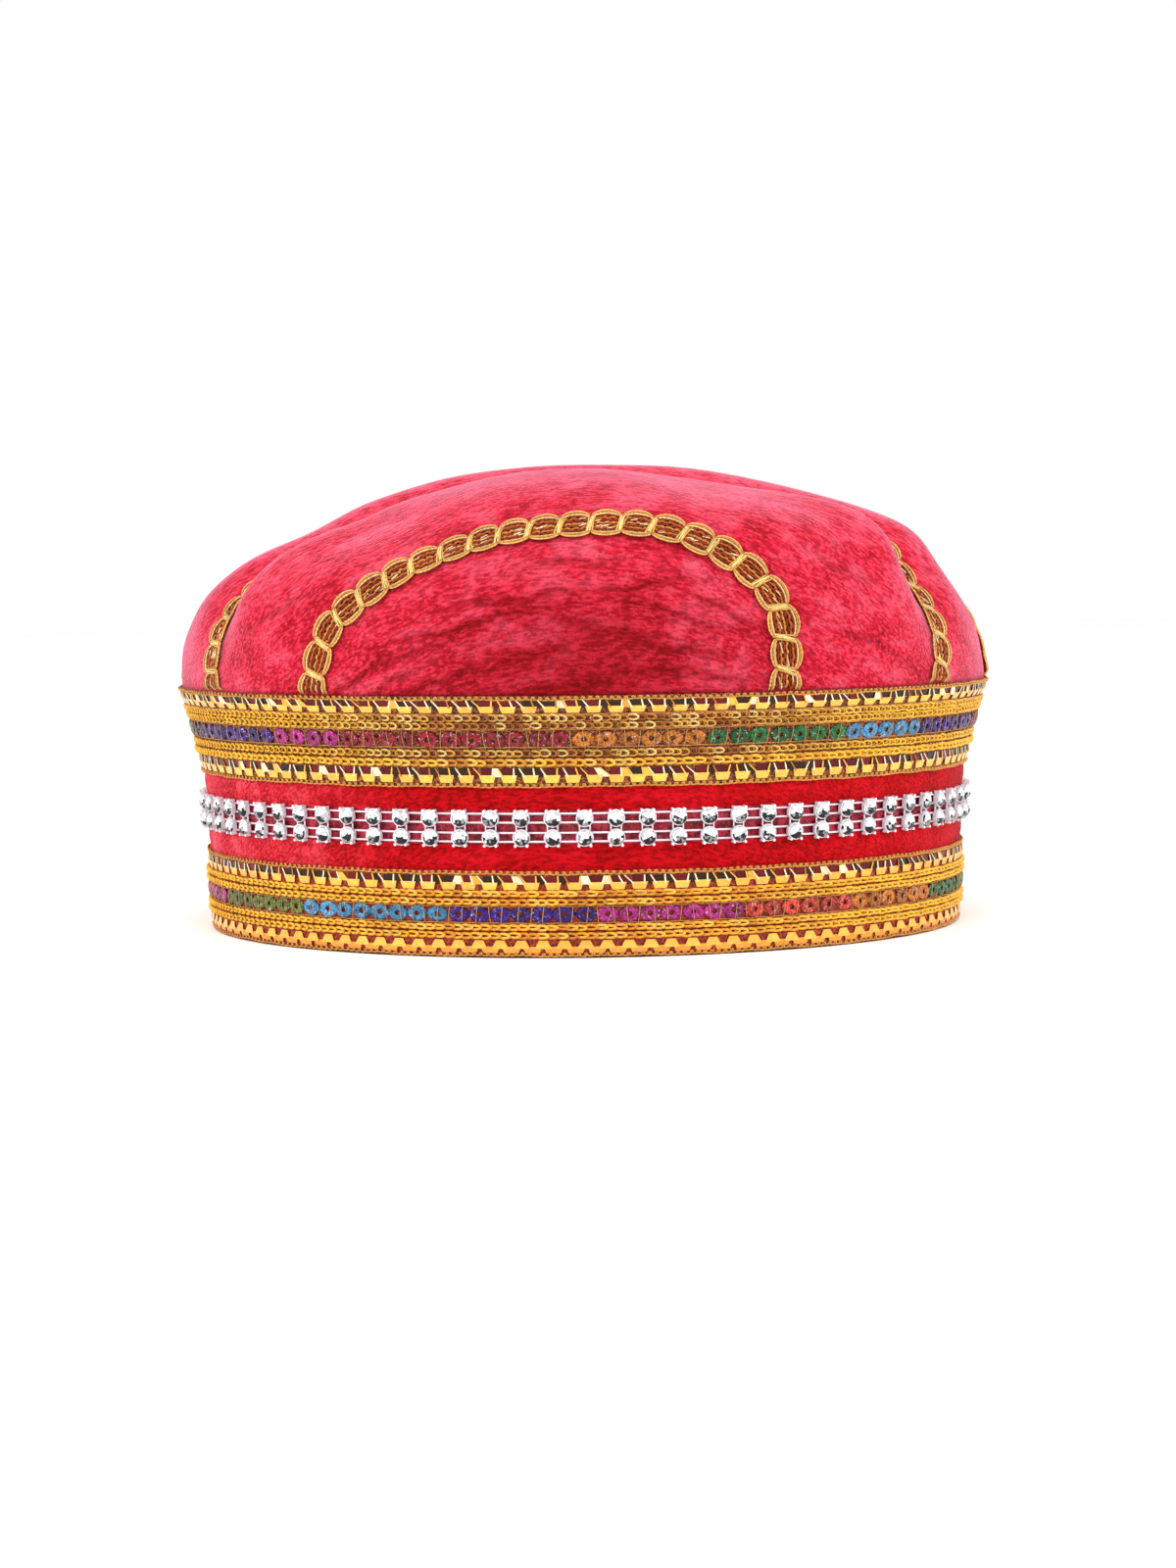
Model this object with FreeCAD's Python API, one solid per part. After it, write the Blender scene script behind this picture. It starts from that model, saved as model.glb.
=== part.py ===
"""Child's brimless velvet cap.

A stiffened oval band carries a soft padded crown.  Two sequinned gold laces run round the
band, with a two-row stone chain on the bare velvet between them, and five rows of gold braid
are laid from side to side over the crown.

Frame: millimetres, origin at the centre of the rim, +Z up, the front of the cap faces -Y.
Every horizontal section is an oval whose Y half-axis is DEPTH_RATIO times its X half-axis.
"""
import FreeCAD
import Part

import math
import os

# ---- Band ---------------------------------------------------------------------------------
DEPTH_RATIO = 0.87          # depth of the oval over its width
RIM_HALF_WIDTH = 86.8       # velvet's outer face at the rim, along X
BAND_FLARE = 0.05           # straight outward slope of the band
CURL_START = 32.0           # height above which the band also curls outwards
BAND_CURL = 0.0073          # strength of that curl, per mm
BAND_TOP = 55.5             # height of the seam between band and crown

BELOW_RIM = 1.0             # what is cut off below the rim to leave it flat
BAND_VELVET = 1.4           # thickness of the band's velvet
BUCKRAM = 1.2               # stiffening strip inside the band
TURN_IN = 1.0               # velvet turned under the rim and up the inside
TURN_IN_TOP = 13.0
BAND_LINING = 0.6
SWEATBAND = 1.0
SWEATBAND_LOW = 4.0
SWEATBAND_HIGH = 26.0
BINDING = 2.4               # rolled binding over the inside seam
BINDING_LOW = 48.0
OVAL_STEPS = 3600           # used to space pieces evenly round the oval
LINE_STEP = 4.0             # between the points that shape an upright line

# ---- Crown --------------------------------------------------------------------------------
CROWN_HEIGHT = 49.5         # from the seam to the top of the velvet
CROWN_HALF_WIDTH = 93.6
SIDE_POWER, SIDE_ROOT = 2.3, 0.5        # fullness of the crown's outline seen from the front
FRONT_POWER, FRONT_ROOT = 3.5, 0.25     # and seen from the side
SECTION_POINTS = 24
CROWN_LEVELS = [0, 0.15, 0.3, 0.45, 0.6, 0.72, 0.82, 0.9, 0.95, 0.98, 0.995, 0.9995]
CROWN_VELVET = 1.5
CROWN_WADDING = 2.5
CROWN_LINING = 0.6

# ---- Laces: heights measured down from each lace's top edge ---------------------------------
LACE_TAPE = 0.4
FOIL = 0.35
EDGE_THREAD = 0.5
CORD_SIDES = 8              # sides of the section of a cord, thread or wire
LACES = {
    "upper": {"span": (36.5, 56.0), "edges": (0.35, 19.1), "foils": ((0.6, 3.5), (15.2, 18.6)),
              "cords": ((4.5, 1.5), (6.15, 1.5), (12.1, 1.5), (14.1, 1.6)), "sequins": 9.0},
    "lower": {"span": (0.3, 18.5), "edges": (0.35, 17.9), "foils": ((0.85, 4.05), (14.75, 17.6)),
              "cords": ((4.8, 1.4), (6.55, 1.5), (12.0, 1.4), (13.75, 1.5)), "sequins": 9.2},
}
SEQUIN_COUNT = 112
SEQUIN_HALF_LENGTH = 2.2
SEQUIN_HALF_HEIGHT = 1.72
SEQUIN_HOLE = 0.6
SEQUIN = 0.3
CLEARANCE = 0.05            # between a flat small piece and the curved face it lies on

# ---- Stone chain --------------------------------------------------------------------------
CHAIN_ROWS = {"upper": 29.85, "lower": 25.75}
CHAIN_COUNT = 78
BACKING = 0.1
BACKING_SPAN = (24.2, 31.4)
WIRE_RADIUS = 0.2
WIRE_SPREAD = 0.95          # a row's two wires lie this far above and below its middle
COLLAR_RADIUS = 1.85
COLLAR_DEPTH = 0.9
SEAT_DEPTH = 0.35           # solid metal under the stone
CLAW_RADIUS = 0.3
CLAW_ACROSS = 1.25
CLAW_UP = 1.65
CLAW_RISE = 0.4
POST_RADIUS = 0.17
POST_ACROSS = 1.1
POST_HALF_LENGTH = 0.52
STONE_RADIUS = 1.62
STONE_TABLE = 1.0
STONE_RISE = 0.75

# ---- Braid --------------------------------------------------------------------------------
BRAID = 1.3
BRAID_HALF_WIDTH = 3.65
BRAID_FOOT = BAND_TOP + 0.6
ROW_THICKNESS = 6.75        # of the slab that cuts a row out of the braid layer
ARCH_STEPS = 24
FRONT_ARCH = [(-59.0, 52.0), (-55.6, 68.0), (-48.0, 76.5), (-36.0, 84.0), (-20.0, 89.8), (0.0, 92.6),
              (17.0, 91.0), (30.0, 85.8), (39.5, 78.0), (43.2, 68.0), (42.4, 52.0)]
SIDE_ROW_FOOT = -41.9       # Y of the second row above the seam
SIDE_ROW_LEAN = 0.31        # how far it leans back, per mm of height
SIDE_ROW_SKEW = -0.034      # how far it runs askew, per mm of width
MIDDLE_ROW_SKEW = -0.06

ORIGIN = FreeCAD.Vector(0, 0, 0)
UP = FreeCAD.Vector(0, 0, 1)
BACKWARDS = FreeCAD.Vector(0, 1, 0)


# ---- Shapes used throughout ---------------------------------------------------------------
def half_width(z):
    """Half width along X of the band velvet's outer face at height z."""
    return RIM_HALF_WIDTH + BAND_FLARE * z + BAND_CURL * max(0.0, z - CURL_START) ** 2


def slope(z):
    """Outward lean of that face at height z, per mm of height."""
    return BAND_FLARE + 2 * BAND_CURL * max(0.0, z - CURL_START)


def oval(solid):
    """A round solid squeezed along Y to the cap's oval."""
    squeeze = FreeCAD.Matrix()
    squeeze.A22 = DEPTH_RATIO
    return solid.transformGeometry(squeeze)


def face_line(low, high, out):
    """Smooth upright line that stands `out` from the band's velvet, from height low to high."""
    steps = max(2, math.ceil((high - low) / LINE_STEP))
    heights = [low + (high - low) * i / steps for i in range(steps + 1)]
    line = Part.BSplineCurve()
    line.interpolate([FreeCAD.Vector(half_width(z) + out, 0, z) for z in heights])
    return line.toShape()


def join(start, end):
    """Straight edge from one curve's end to another's start."""
    return Part.makeLine(start.Point, end.Point)


def turned(edges):
    """Solid made by turning a closed outline in the XZ plane about Z, then made oval."""
    outline = Part.Wire(Part.__sortEdges__(edges))
    return oval(Part.Face(outline).revolve(ORIGIN, UP, 360))


def wall(low, high, outer, inner):
    """Oval wall between two distances out from the band's velvet face."""
    outside = face_line(low, high, outer)
    inside = face_line(low, high, inner)
    foot = join(outside.Vertexes[0], inside.Vertexes[0])
    head = join(outside.Vertexes[-1], inside.Vertexes[-1])
    return turned([outside, head, inside, foot])


def cord_ring(z, out, radius):
    """Oval ring of eight-sided section lying on a face that stands `out` from the velvet."""
    centre = FreeCAD.Vector(half_width(z) + out + radius, 0, z)
    corners = []
    for i in range(CORD_SIDES + 1):
        turn = 2 * math.pi * (i + 0.5) / CORD_SIDES
        reach = radius / math.cos(math.pi / CORD_SIDES)
        corners.append(centre + FreeCAD.Vector(math.cos(turn), 0, math.sin(turn)) * reach)
    return oval(Part.Face(Part.makePolygon(corners)).revolve(ORIGIN, UP, 360))


def places_round(z, out, count):
    """Evenly spaced placements round the band at height z: local Z points out, local Y up."""
    across = half_width(z)
    deep = across * DEPTH_RATIO
    lengths = [0.0]
    for i in range(OVAL_STEPS):
        turn = 2 * math.pi * (i + 0.5) / OVAL_STEPS
        lengths.append(lengths[-1] + math.hypot(across * math.cos(turn), deep * math.sin(turn)))
    placements = []
    i = 0
    for k in range(count):
        while lengths[i + 1] < lengths[-1] * k / count:
            i += 1
        turn = 2 * math.pi * i / OVAL_STEPS
        outward = FreeCAD.Vector(math.sin(turn) / across, -math.cos(turn) / deep, 0).normalize()
        outward = (outward - UP * slope(z)).normalize()
        along = UP.cross(outward).normalize()
        turned_to = FreeCAD.Rotation(along, outward.cross(along), outward, "ZXY")
        base = FreeCAD.Vector(across * math.sin(turn), -deep * math.cos(turn), z)
        placements.append(FreeCAD.Placement(base + outward * out, turned_to))
    return placements


def repeated(solid, placements):
    """Separate copies of a solid, one at each placement."""
    copies = []
    for placement in placements:
        copy = solid.copy()
        copy.Placement = placement
        copies.append(copy)
    return Part.makeCompound(copies)


# ---- Band ---------------------------------------------------------------------------------
def band_velvet():
    """Outer velvet of the band, turned under the flat rim and up the inside."""
    inner_face = -BAND_VELVET - BUCKRAM
    outside = face_line(-BELOW_RIM, BAND_TOP, 0)
    hollow = face_line(BAND_VELVET, BAND_TOP, -BAND_VELVET)
    turned_up = face_line(BAND_VELVET, TURN_IN_TOP, inner_face)
    inside = face_line(-BELOW_RIM, TURN_IN_TOP, inner_face - TURN_IN)
    links = [join(outside.Vertexes[-1], hollow.Vertexes[-1]),
             join(hollow.Vertexes[0], turned_up.Vertexes[0]),
             join(turned_up.Vertexes[-1], inside.Vertexes[-1]),
             join(inside.Vertexes[0], outside.Vertexes[0])]
    wide = 3 * RIM_HALF_WIDTH
    below = Part.makeBox(wide, wide, wide, FreeCAD.Vector(-wide / 2, -wide / 2, -wide))
    return turned([outside, hollow, turned_up, inside] + links).cut(below)


def band_inside():
    """Buckram, lining, sweatband and rolled seam binding, from the velvet inwards."""
    buckram_in = -BAND_VELVET - BUCKRAM
    lining_in = buckram_in - BAND_LINING
    sweat_out = buckram_in - TURN_IN
    return {
        "band_buckram": wall(BAND_VELVET, BAND_TOP, -BAND_VELVET, buckram_in),
        "band_lining": wall(TURN_IN_TOP, BAND_TOP, buckram_in, lining_in),
        "sweatband": wall(SWEATBAND_LOW, SWEATBAND_HIGH, sweat_out, sweat_out - SWEATBAND),
        "seam_binding": wall(BINDING_LOW, BAND_TOP, lining_in, lining_in - BINDING),
    }


# ---- Crown --------------------------------------------------------------------------------
def dome(inset):
    """Solid dome whose face lies `inset` inside the crown's velvet (outside it if negative)."""
    across = CROWN_HALF_WIDTH - inset
    deep = CROWN_HALF_WIDTH * DEPTH_RATIO - inset
    height = CROWN_HEIGHT - inset
    sections = []
    for level in CROWN_LEVELS:
        wide = across * (1 - level ** SIDE_POWER) ** SIDE_ROOT
        long = deep * (1 - level ** FRONT_POWER) ** FRONT_ROOT
        points = []
        for i in range(SECTION_POINTS):
            turn = 2 * math.pi * i / SECTION_POINTS
            points.append(FreeCAD.Vector(wide * math.sin(turn), -long * math.cos(turn),
                                         BAND_TOP + height * level))
        section = Part.BSplineCurve()
        section.interpolate(points, PeriodicFlag=True)
        sections.append(Part.Wire(section.toShape()))
    return Part.makeLoft(sections, True)


def crown_layers():
    """Velvet, wadding and lining of the crown, each lying on the next."""
    layers = {}
    depth = 0.0
    for name, thickness in (("crown_velvet", CROWN_VELVET), ("crown_wadding", CROWN_WADDING),
                            ("crown_lining", CROWN_LINING)):
        layers[name] = dome(depth).cut(dome(depth + thickness))
        depth += thickness
    return layers


# ---- Braid --------------------------------------------------------------------------------
def arch_cutter():
    """Band that follows the front arch, seen from the front, and runs through the front wall."""
    path = Part.BSplineCurve()
    path.interpolate([FreeCAD.Vector(x, 0, z) for x, z in FRONT_ARCH])
    edges = []
    for side in (1, -1):
        points = []
        for i in range(ARCH_STEPS + 1):
            at = path.FirstParameter + (path.LastParameter - path.FirstParameter) * i / ARCH_STEPS
            across = path.tangent(at)[0].cross(BACKWARDS) * BRAID_HALF_WIDTH * side
            points.append(path.value(at) + across)
        border = Part.BSplineCurve()
        border.interpolate(points)
        edges.append(border.toShape())
    edges.append(join(edges[0].Vertexes[0], edges[1].Vertexes[0]))
    edges.append(join(edges[0].Vertexes[-1], edges[1].Vertexes[-1]))
    outline = Part.Wire(Part.__sortEdges__(edges))
    return Part.Face(outline).extrude(BACKWARDS * -2 * CROWN_HALF_WIDTH)


def row_cutter(foot, lean, skew):
    """Slab that crosses the crown from side to side along one row of braid."""
    wide = 3 * CROWN_HALF_WIDTH
    slab = Part.makeBox(wide, ROW_THICKNESS, wide)
    slab.translate(FreeCAD.Vector(-wide / 2, -ROW_THICKNESS / 2, -wide / 2))
    across = FreeCAD.Vector(-skew, 1, -lean)
    slab.Placement = FreeCAD.Placement(FreeCAD.Vector(0, foot, BAND_TOP),
                                       FreeCAD.Rotation(BACKWARDS, across)).multiply(slab.Placement)
    return slab


def braids():
    """The five rows of braid, laid on the crown's velvet from side to side."""
    layer = dome(-BRAID).cut(dome(0))
    base = 3 * CROWN_HALF_WIDTH
    above_lace = Part.makeBox(base, base, base, FreeCAD.Vector(-base / 2, -base / 2, BRAID_FOOT))
    layer = layer.common(above_lace)
    front = layer.common(arch_cutter())
    fore = layer.common(row_cutter(SIDE_ROW_FOOT, SIDE_ROW_LEAN, SIDE_ROW_SKEW))
    rows = {"braid_front": front, "braid_fore": fore,
            "braid_middle": layer.common(row_cutter(0, 0, MIDDLE_ROW_SKEW))}
    for name, twin in (("braid_aft", fore), ("braid_back", front)):
        rows[name] = twin.copy()
        rows[name].rotate(ORIGIN, UP, 180)
    return rows


# ---- Laces --------------------------------------------------------------------------------
def sequin():
    """Flat eye-shaped ring, its back face on the local XY plane."""
    left = FreeCAD.Vector(-SEQUIN_HALF_LENGTH, 0, 0)
    right = FreeCAD.Vector(SEQUIN_HALF_LENGTH, 0, 0)
    lids = []
    for height in (SEQUIN_HALF_HEIGHT, -SEQUIN_HALF_HEIGHT):
        lids.append(Part.Arc(left, FreeCAD.Vector(0, height, 0), right).toShape())
    eye = Part.Face(Part.Wire(lids)).extrude(UP * SEQUIN)
    return eye.cut(Part.makeCylinder(SEQUIN_HOLE, SEQUIN))


def lace(name, rows):
    """One lace: ground tape, edge threads, foil rows, cords and a row of sequins."""
    low, high = rows["span"]
    pieces = {"tape": wall(low, high, LACE_TAPE, 0)}
    for place, down in zip(("top", "bottom"), rows["edges"]):
        pieces["edge_thread_" + place] = cord_ring(high - down, LACE_TAPE, EDGE_THREAD / 2)
    for place, (start, end) in zip(("top", "bottom"), rows["foils"]):
        pieces["foil_" + place] = wall(high - end, high - start, LACE_TAPE + FOIL, LACE_TAPE)
    for number, (down, thickness) in enumerate(rows["cords"], 1):
        pieces["cord_" + str(number)] = cord_ring(high - down, LACE_TAPE, thickness / 2)
    places = places_round(high - rows["sequins"], LACE_TAPE + CLEARANCE, SEQUIN_COUNT)
    pieces["sequins"] = repeated(sequin(), places)
    return {name + "_lace_" + piece: shape for piece, shape in pieces.items()}


# ---- Stone chain --------------------------------------------------------------------------
def cup(side):
    """Round metal collar with two claws, above it for side 1 and below it for side -1."""
    collar = Part.makeCylinder(COLLAR_RADIUS, COLLAR_DEPTH)
    for x in (-CLAW_ACROSS, CLAW_ACROSS):
        base = FreeCAD.Vector(x, side * CLAW_UP, 0)
        collar = collar.fuse(Part.makeCylinder(CLAW_RADIUS, COLLAR_DEPTH + CLAW_RISE, base))
    return collar.cut(Part.makeCylinder(STONE_RADIUS, COLLAR_DEPTH, UP * SEAT_DEPTH))


def stone():
    """Cut stone seated in its collar: a low cylinder under a bevelled table."""
    girdle = Part.makeCylinder(STONE_RADIUS, COLLAR_DEPTH - SEAT_DEPTH, UP * SEAT_DEPTH)
    crown = Part.makeCone(STONE_RADIUS, STONE_TABLE, STONE_RISE, UP * COLLAR_DEPTH)
    return girdle.fuse(crown)


def post_pair():
    """Two short upright posts between an upper and a lower collar."""
    posts = []
    for x in (-POST_ACROSS, POST_ACROSS):
        foot = FreeCAD.Vector(x, -POST_HALF_LENGTH, POST_RADIUS)
        posts.append(Part.makeCylinder(POST_RADIUS, 2 * POST_HALF_LENGTH, foot, BACKWARDS))
    return Part.makeCompound(posts)


def stone_chain():
    """Film backing, four wires, posts, and two rows of collars and stones."""
    low, high = BACKING_SPAN
    seat = BACKING + 2 * WIRE_RADIUS + CLEARANCE
    wires = []
    pieces = {"chain_backing": wall(low, high, BACKING, 0)}
    for side, (row, z) in zip((1, -1), CHAIN_ROWS.items()):
        wires.append(cord_ring(z - WIRE_SPREAD, BACKING, WIRE_RADIUS))
        wires.append(cord_ring(z + WIRE_SPREAD, BACKING, WIRE_RADIUS))
        placements = places_round(z, seat, CHAIN_COUNT)
        pieces["chain_" + row + "_cups"] = repeated(cup(side), placements)
        pieces["chain_" + row + "_stones"] = repeated(stone(), placements)
    middle = sum(CHAIN_ROWS.values()) / 2
    pieces["chain_wires"] = Part.makeCompound(wires)
    pieces["chain_posts"] = repeated(post_pair(), places_round(middle, seat, CHAIN_COUNT))
    return pieces


# ---- Whole cap ----------------------------------------------------------------------------
def cap():
    """Every piece of the cap by name."""
    pieces = {"band_velvet": band_velvet()}
    pieces.update(band_inside())
    pieces.update(crown_layers())
    for name, rows in LACES.items():
        pieces.update(lace(name, rows))
    pieces.update(stone_chain())
    pieces.update(braids())
    return pieces


os.makedirs("parts", exist_ok=True)
for node, shape in cap().items():
    shape.exportStep("parts/" + node + ".step")
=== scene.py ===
"""Looks of a child's brimless velvet cap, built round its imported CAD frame.

Shapes are worked out in millimetres in the frame's own axes (+Z up, front towards -Y) and
turned into metres when a piece is made.
"""

import math

import bpy
import numpy as np
from mathutils import Euler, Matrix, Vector


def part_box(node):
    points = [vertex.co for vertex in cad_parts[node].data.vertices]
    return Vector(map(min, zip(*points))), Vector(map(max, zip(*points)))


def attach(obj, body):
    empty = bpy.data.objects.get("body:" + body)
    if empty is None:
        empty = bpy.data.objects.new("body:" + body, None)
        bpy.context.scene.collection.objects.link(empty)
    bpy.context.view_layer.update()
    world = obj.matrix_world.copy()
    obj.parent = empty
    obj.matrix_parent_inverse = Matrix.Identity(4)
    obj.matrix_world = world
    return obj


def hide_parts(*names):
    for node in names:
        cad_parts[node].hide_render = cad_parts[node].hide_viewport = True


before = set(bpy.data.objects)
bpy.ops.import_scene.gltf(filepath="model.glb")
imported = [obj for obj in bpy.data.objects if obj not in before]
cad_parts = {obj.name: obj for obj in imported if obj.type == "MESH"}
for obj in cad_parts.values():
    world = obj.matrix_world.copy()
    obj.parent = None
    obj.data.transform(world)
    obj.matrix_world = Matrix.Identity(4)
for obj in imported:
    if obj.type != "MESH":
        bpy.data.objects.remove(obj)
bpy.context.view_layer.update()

MM = 0.001
BODY = "root"
DICE = np.random.default_rng(7)


# ---- Sizes read from the frame -------------------------------------------------------------
def corners(node):
    """Lowest and highest corner of a CAD node, in millimetres."""
    low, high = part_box(node)
    return np.array(low) / MM, np.array(high) / MM


def heights(node):
    """Lowest and highest z of a CAD node."""
    return [corner[2] for corner in corners(node)]


def middle_height(node):
    return sum(heights(node)) / 2


CROWN_HIGH = corners("crown_velvet")[1]
BAND_HIGH = corners("band_velvet")[1]
SEAM = BAND_HIGH[2]
CROWN_HEIGHT = CROWN_HIGH[2] - SEAM
CROWN_HALF = CROWN_HIGH[0]
DEPTH = BAND_HIGH[1] / BAND_HIGH[0]

RIM_HALF = 86.8         # half width of the band at the rim
FLARE = 0.05            # how far the band leans out for each millimetre up
CURL_START = 32.0       # above this height it curls out further
CURL = 0.0073
VELVET = 1.4            # thickness with its pile
TURN_IN_TOP = 13.0      # the band's velvet is turned in at the rim and up to this height
TURN = 2 * math.pi


# ---- Small vector helpers ------------------------------------------------------------------
def unit(v):
    return v / np.linalg.norm(v, axis=-1, keepdims=True)


def smooth(x, start, end):
    """0 before start, 1 after end, and an even S between."""
    x = np.clip((x - start) / (end - start), 0, 1)
    return x * x * (3 - 2 * x)


def bell(x, width):
    """1 at nought, falling off evenly on both sides."""
    return np.exp(-(x / width) ** 2)


def circle(count):
    """Even angles once round."""
    return np.arange(count) * TURN / count


# ---- Gathering geometry --------------------------------------------------------------------
class Gather:
    """Points and faces of one piece. Each face or point carries a tint that its material may use."""

    def __init__(self):
        self.points, self.faces, self.tints, self.total = [], [], [], 0
        self.soft = None

    def add(self, points, faces, tint=(1.0, 1.0, 1.0)):
        """points is (n, 3); faces is one or several (m, k) index arrays; tint one colour or one per face."""
        points = np.asarray(points, float).reshape(-1, 3)
        faces = [faces] if isinstance(faces, np.ndarray) else faces
        count = sum(len(f) for f in faces)
        self.points.append(points)
        self.faces += [f + self.total for f in faces]
        self.tints.append(np.broadcast_to(np.asarray(tint, float), (count, 3)))
        self.total += len(points)

    def shade(self, tone):
        """Tints that change smoothly over the piece, from a function of the place."""
        self.soft = tone(np.concatenate(self.points))

    def piece(self, name, slot, material, replaces=(), flat=False):
        """Makes the Blender object, riding on the cap's one body."""
        mesh = bpy.data.meshes.new(name)
        points = np.concatenate(self.points) * MM
        loops = np.concatenate([f.ravel() for f in self.faces])
        sizes = np.concatenate([np.full(len(f), f.shape[1]) for f in self.faces])
        mesh.vertices.add(len(points))
        mesh.vertices.foreach_set("co", points.ravel())
        mesh.loops.add(len(loops))
        mesh.loops.foreach_set("vertex_index", loops.astype(np.int32))
        mesh.polygons.add(len(sizes))
        starts = np.concatenate([[0], np.cumsum(sizes)[:-1]])
        mesh.polygons.foreach_set("loop_start", starts.astype(np.int32))
        mesh.update(calc_edges=True)
        mesh.polygons.foreach_set("use_smooth", np.full(len(sizes), not flat))
        tint = mesh.attributes.new("tint", "FLOAT_COLOR", "FACE" if self.soft is None else "POINT")
        colours = np.concatenate(self.tints) if self.soft is None else self.soft
        tint.data.foreach_set("color", np.concatenate([colours, np.ones((len(colours), 1))], axis=1).ravel())
        mesh.materials.append(material)
        piece = bpy.data.objects.new(name, mesh)
        bpy.context.scene.collection.objects.link(piece)
        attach(piece, BODY)
        if replaces:
            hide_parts(*replaces)
        return piece


def grid_faces(rows, columns, wrap_rows=False, wrap_columns=False):
    """Quads between neighbours of a rows x columns grid of points."""
    i = np.arange(rows if wrap_rows else rows - 1)[:, None]
    j = np.arange(columns if wrap_columns else columns - 1)[None, :]
    near, far = i * columns, ((i + 1) % rows) * columns
    left, right = j, (j + 1) % columns
    return np.stack([near + left, near + right, far + right, far + left], axis=-1).reshape(-1, 4)


def tube(gather, paths, lifts, radius, sides=5, closed=False, tint=(1.0, 1.0, 1.0)):
    """Skins of threads. paths and lifts are (threads, points, 3); a lift is the way that faces out.

    tint is one colour, one for each thread, or for closed threads one for each point."""
    paths, lifts = np.asarray(paths, float), np.asarray(lifts, float)
    threads, count = paths.shape[:2]
    if closed:
        ahead = np.roll(paths, -1, 1) - np.roll(paths, 1, 1)
    else:
        ahead = np.gradient(paths, axis=1)
    ahead = unit(ahead)
    side = unit(np.cross(ahead, lifts))
    rise = np.cross(side, ahead)
    turn = -circle(sides)
    ring = side[..., None, :] * np.cos(turn)[:, None] + rise[..., None, :] * np.sin(turn)[:, None]
    radius = np.broadcast_to(radius, (threads, count))
    points = paths[..., None, :] + ring * radius[..., None, None]
    one = grid_faces(count, sides, wrap_rows=closed, wrap_columns=True)
    step = (np.arange(threads) * count * sides)[:, None, None]
    faces = [(one[None] + step).reshape(-1, 4)]
    if np.ndim(tint) == 3:
        tints = [np.repeat(np.reshape(tint, (-1, 3)), sides, axis=0)]
    else:
        tints = [np.repeat(np.broadcast_to(tint, (threads, 3)), len(one), axis=0)]
    if not closed:
        start = np.arange(sides)[None, ::-1]
        end = np.arange(sides)[None, :] + (count - 1) * sides
        for cap in (start, end):
            faces.append((cap + step[:, 0]).reshape(-1, sides))
            tints.append(np.broadcast_to(tint, (threads, 3)))
    gather.add(points, faces, np.concatenate(tints))


def plates(gather, outer, inner, tint):
    """Thin closed plates: outer and inner are (plates, k, 3) outlines of their two faces."""
    count, sides = outer.shape[:2]
    points = np.concatenate([outer, inner], axis=1)
    step = (np.arange(count) * 2 * sides)[:, None, None]
    near = np.arange(sides)
    far = (near + 1) % sides
    walls = np.stack([near, near + sides, far + sides, far], axis=-1)
    faces = [(near[None, None, :] + step).reshape(-1, sides),
             (near[None, None, ::-1] + sides + step).reshape(-1, sides),
             (walls[None] + step).reshape(-1, 4)]
    tint = np.broadcast_to(tint, (count, 3))
    gather.add(points, faces, np.concatenate([tint, tint, np.repeat(tint, sides, axis=0)]))


# ---- The band as a surface -----------------------------------------------------------------
def half_width(z):
    """Half width of the band velvet's outer face at height z."""
    return RIM_HALF + FLARE * z + CURL * np.maximum(0.0, z - CURL_START) ** 2


def slope(z):
    """How steeply the band leans out at height z."""
    return FLARE + 2 * CURL * np.maximum(0.0, z - CURL_START)


# Shares of the way round the oval at even angles.
ANGLES = np.linspace(0, TURN, 4001)
STEPS = np.hypot(np.cos(ANGLES), DEPTH * np.sin(ANGLES))
SHARES = np.concatenate([[0], np.cumsum((STEPS[1:] + STEPS[:-1]) / 2)])
ROUND_PER_HALF_WIDTH = SHARES[-1] * (ANGLES[1] - ANGLES[0])
SHARES = SHARES / SHARES[-1]


def girth(z):
    """Length round the band at height z."""
    return ROUND_PER_HALF_WIDTH * half_width(z)


def band_place(share, z, out):
    """Points and outward normals; share is the part of the way round from the front towards +X."""
    share, z, out = np.broadcast_arrays(share, z, out)
    angle = np.interp(share % 1.0, SHARES, ANGLES)
    normal = unit(np.stack([DEPTH * np.sin(angle), -np.cos(angle), -DEPTH * slope(z)], axis=-1))
    wide = half_width(z) + np.minimum(out, 0)
    base = np.stack([wide * np.sin(angle), -DEPTH * wide * np.cos(angle), z], axis=-1)
    return base + normal * np.maximum(out, 0)[..., None], normal


def band_thread(gather, share, z, out, radius, **options):
    """A thread, or several, laid on the band."""
    paths, lifts = band_place(share, z, out)
    if paths.ndim == 2:
        paths, lifts = paths[None], lifts[None]
    tube(gather, paths, lifts, radius, **options)


# ---- The crown as a surface ----------------------------------------------------------------
SIDE_POWER, FRONT_POWER = 2.3, 3.5
LEAN, LEAN_LEVEL, LEAN_WIDTH = 6.4, 0.74, 0.16      # the right shoulder stands fuller than the left


def crown_axes(level):
    """Half width, half depth and sideways lean of the crown at a level from 0, the seam, to 1."""
    across = CROWN_HALF * (1 - level ** SIDE_POWER) ** 0.5
    deep = CROWN_HALF * DEPTH * (1 - level ** FRONT_POWER) ** 0.25
    return across, deep, LEAN * bell(level - LEAN_LEVEL, LEAN_WIDTH)


def crown_level(points):
    """0 at the seam and just under 1 at the top of the crown."""
    return np.clip((points[..., 2] - SEAM) / CROWN_HEIGHT, 0, 1 - 1e-12)


def crown_field(points):
    """Below 1 inside the crown's plain dome, above 1 outside."""
    across, deep, lean = crown_axes(crown_level(points))
    inside = ((points[..., 0] - lean) / across) ** 2 + (points[..., 1] / deep) ** 2
    return np.where(points[..., 2] > SEAM + CROWN_HEIGHT, 2.0, inside)


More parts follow.
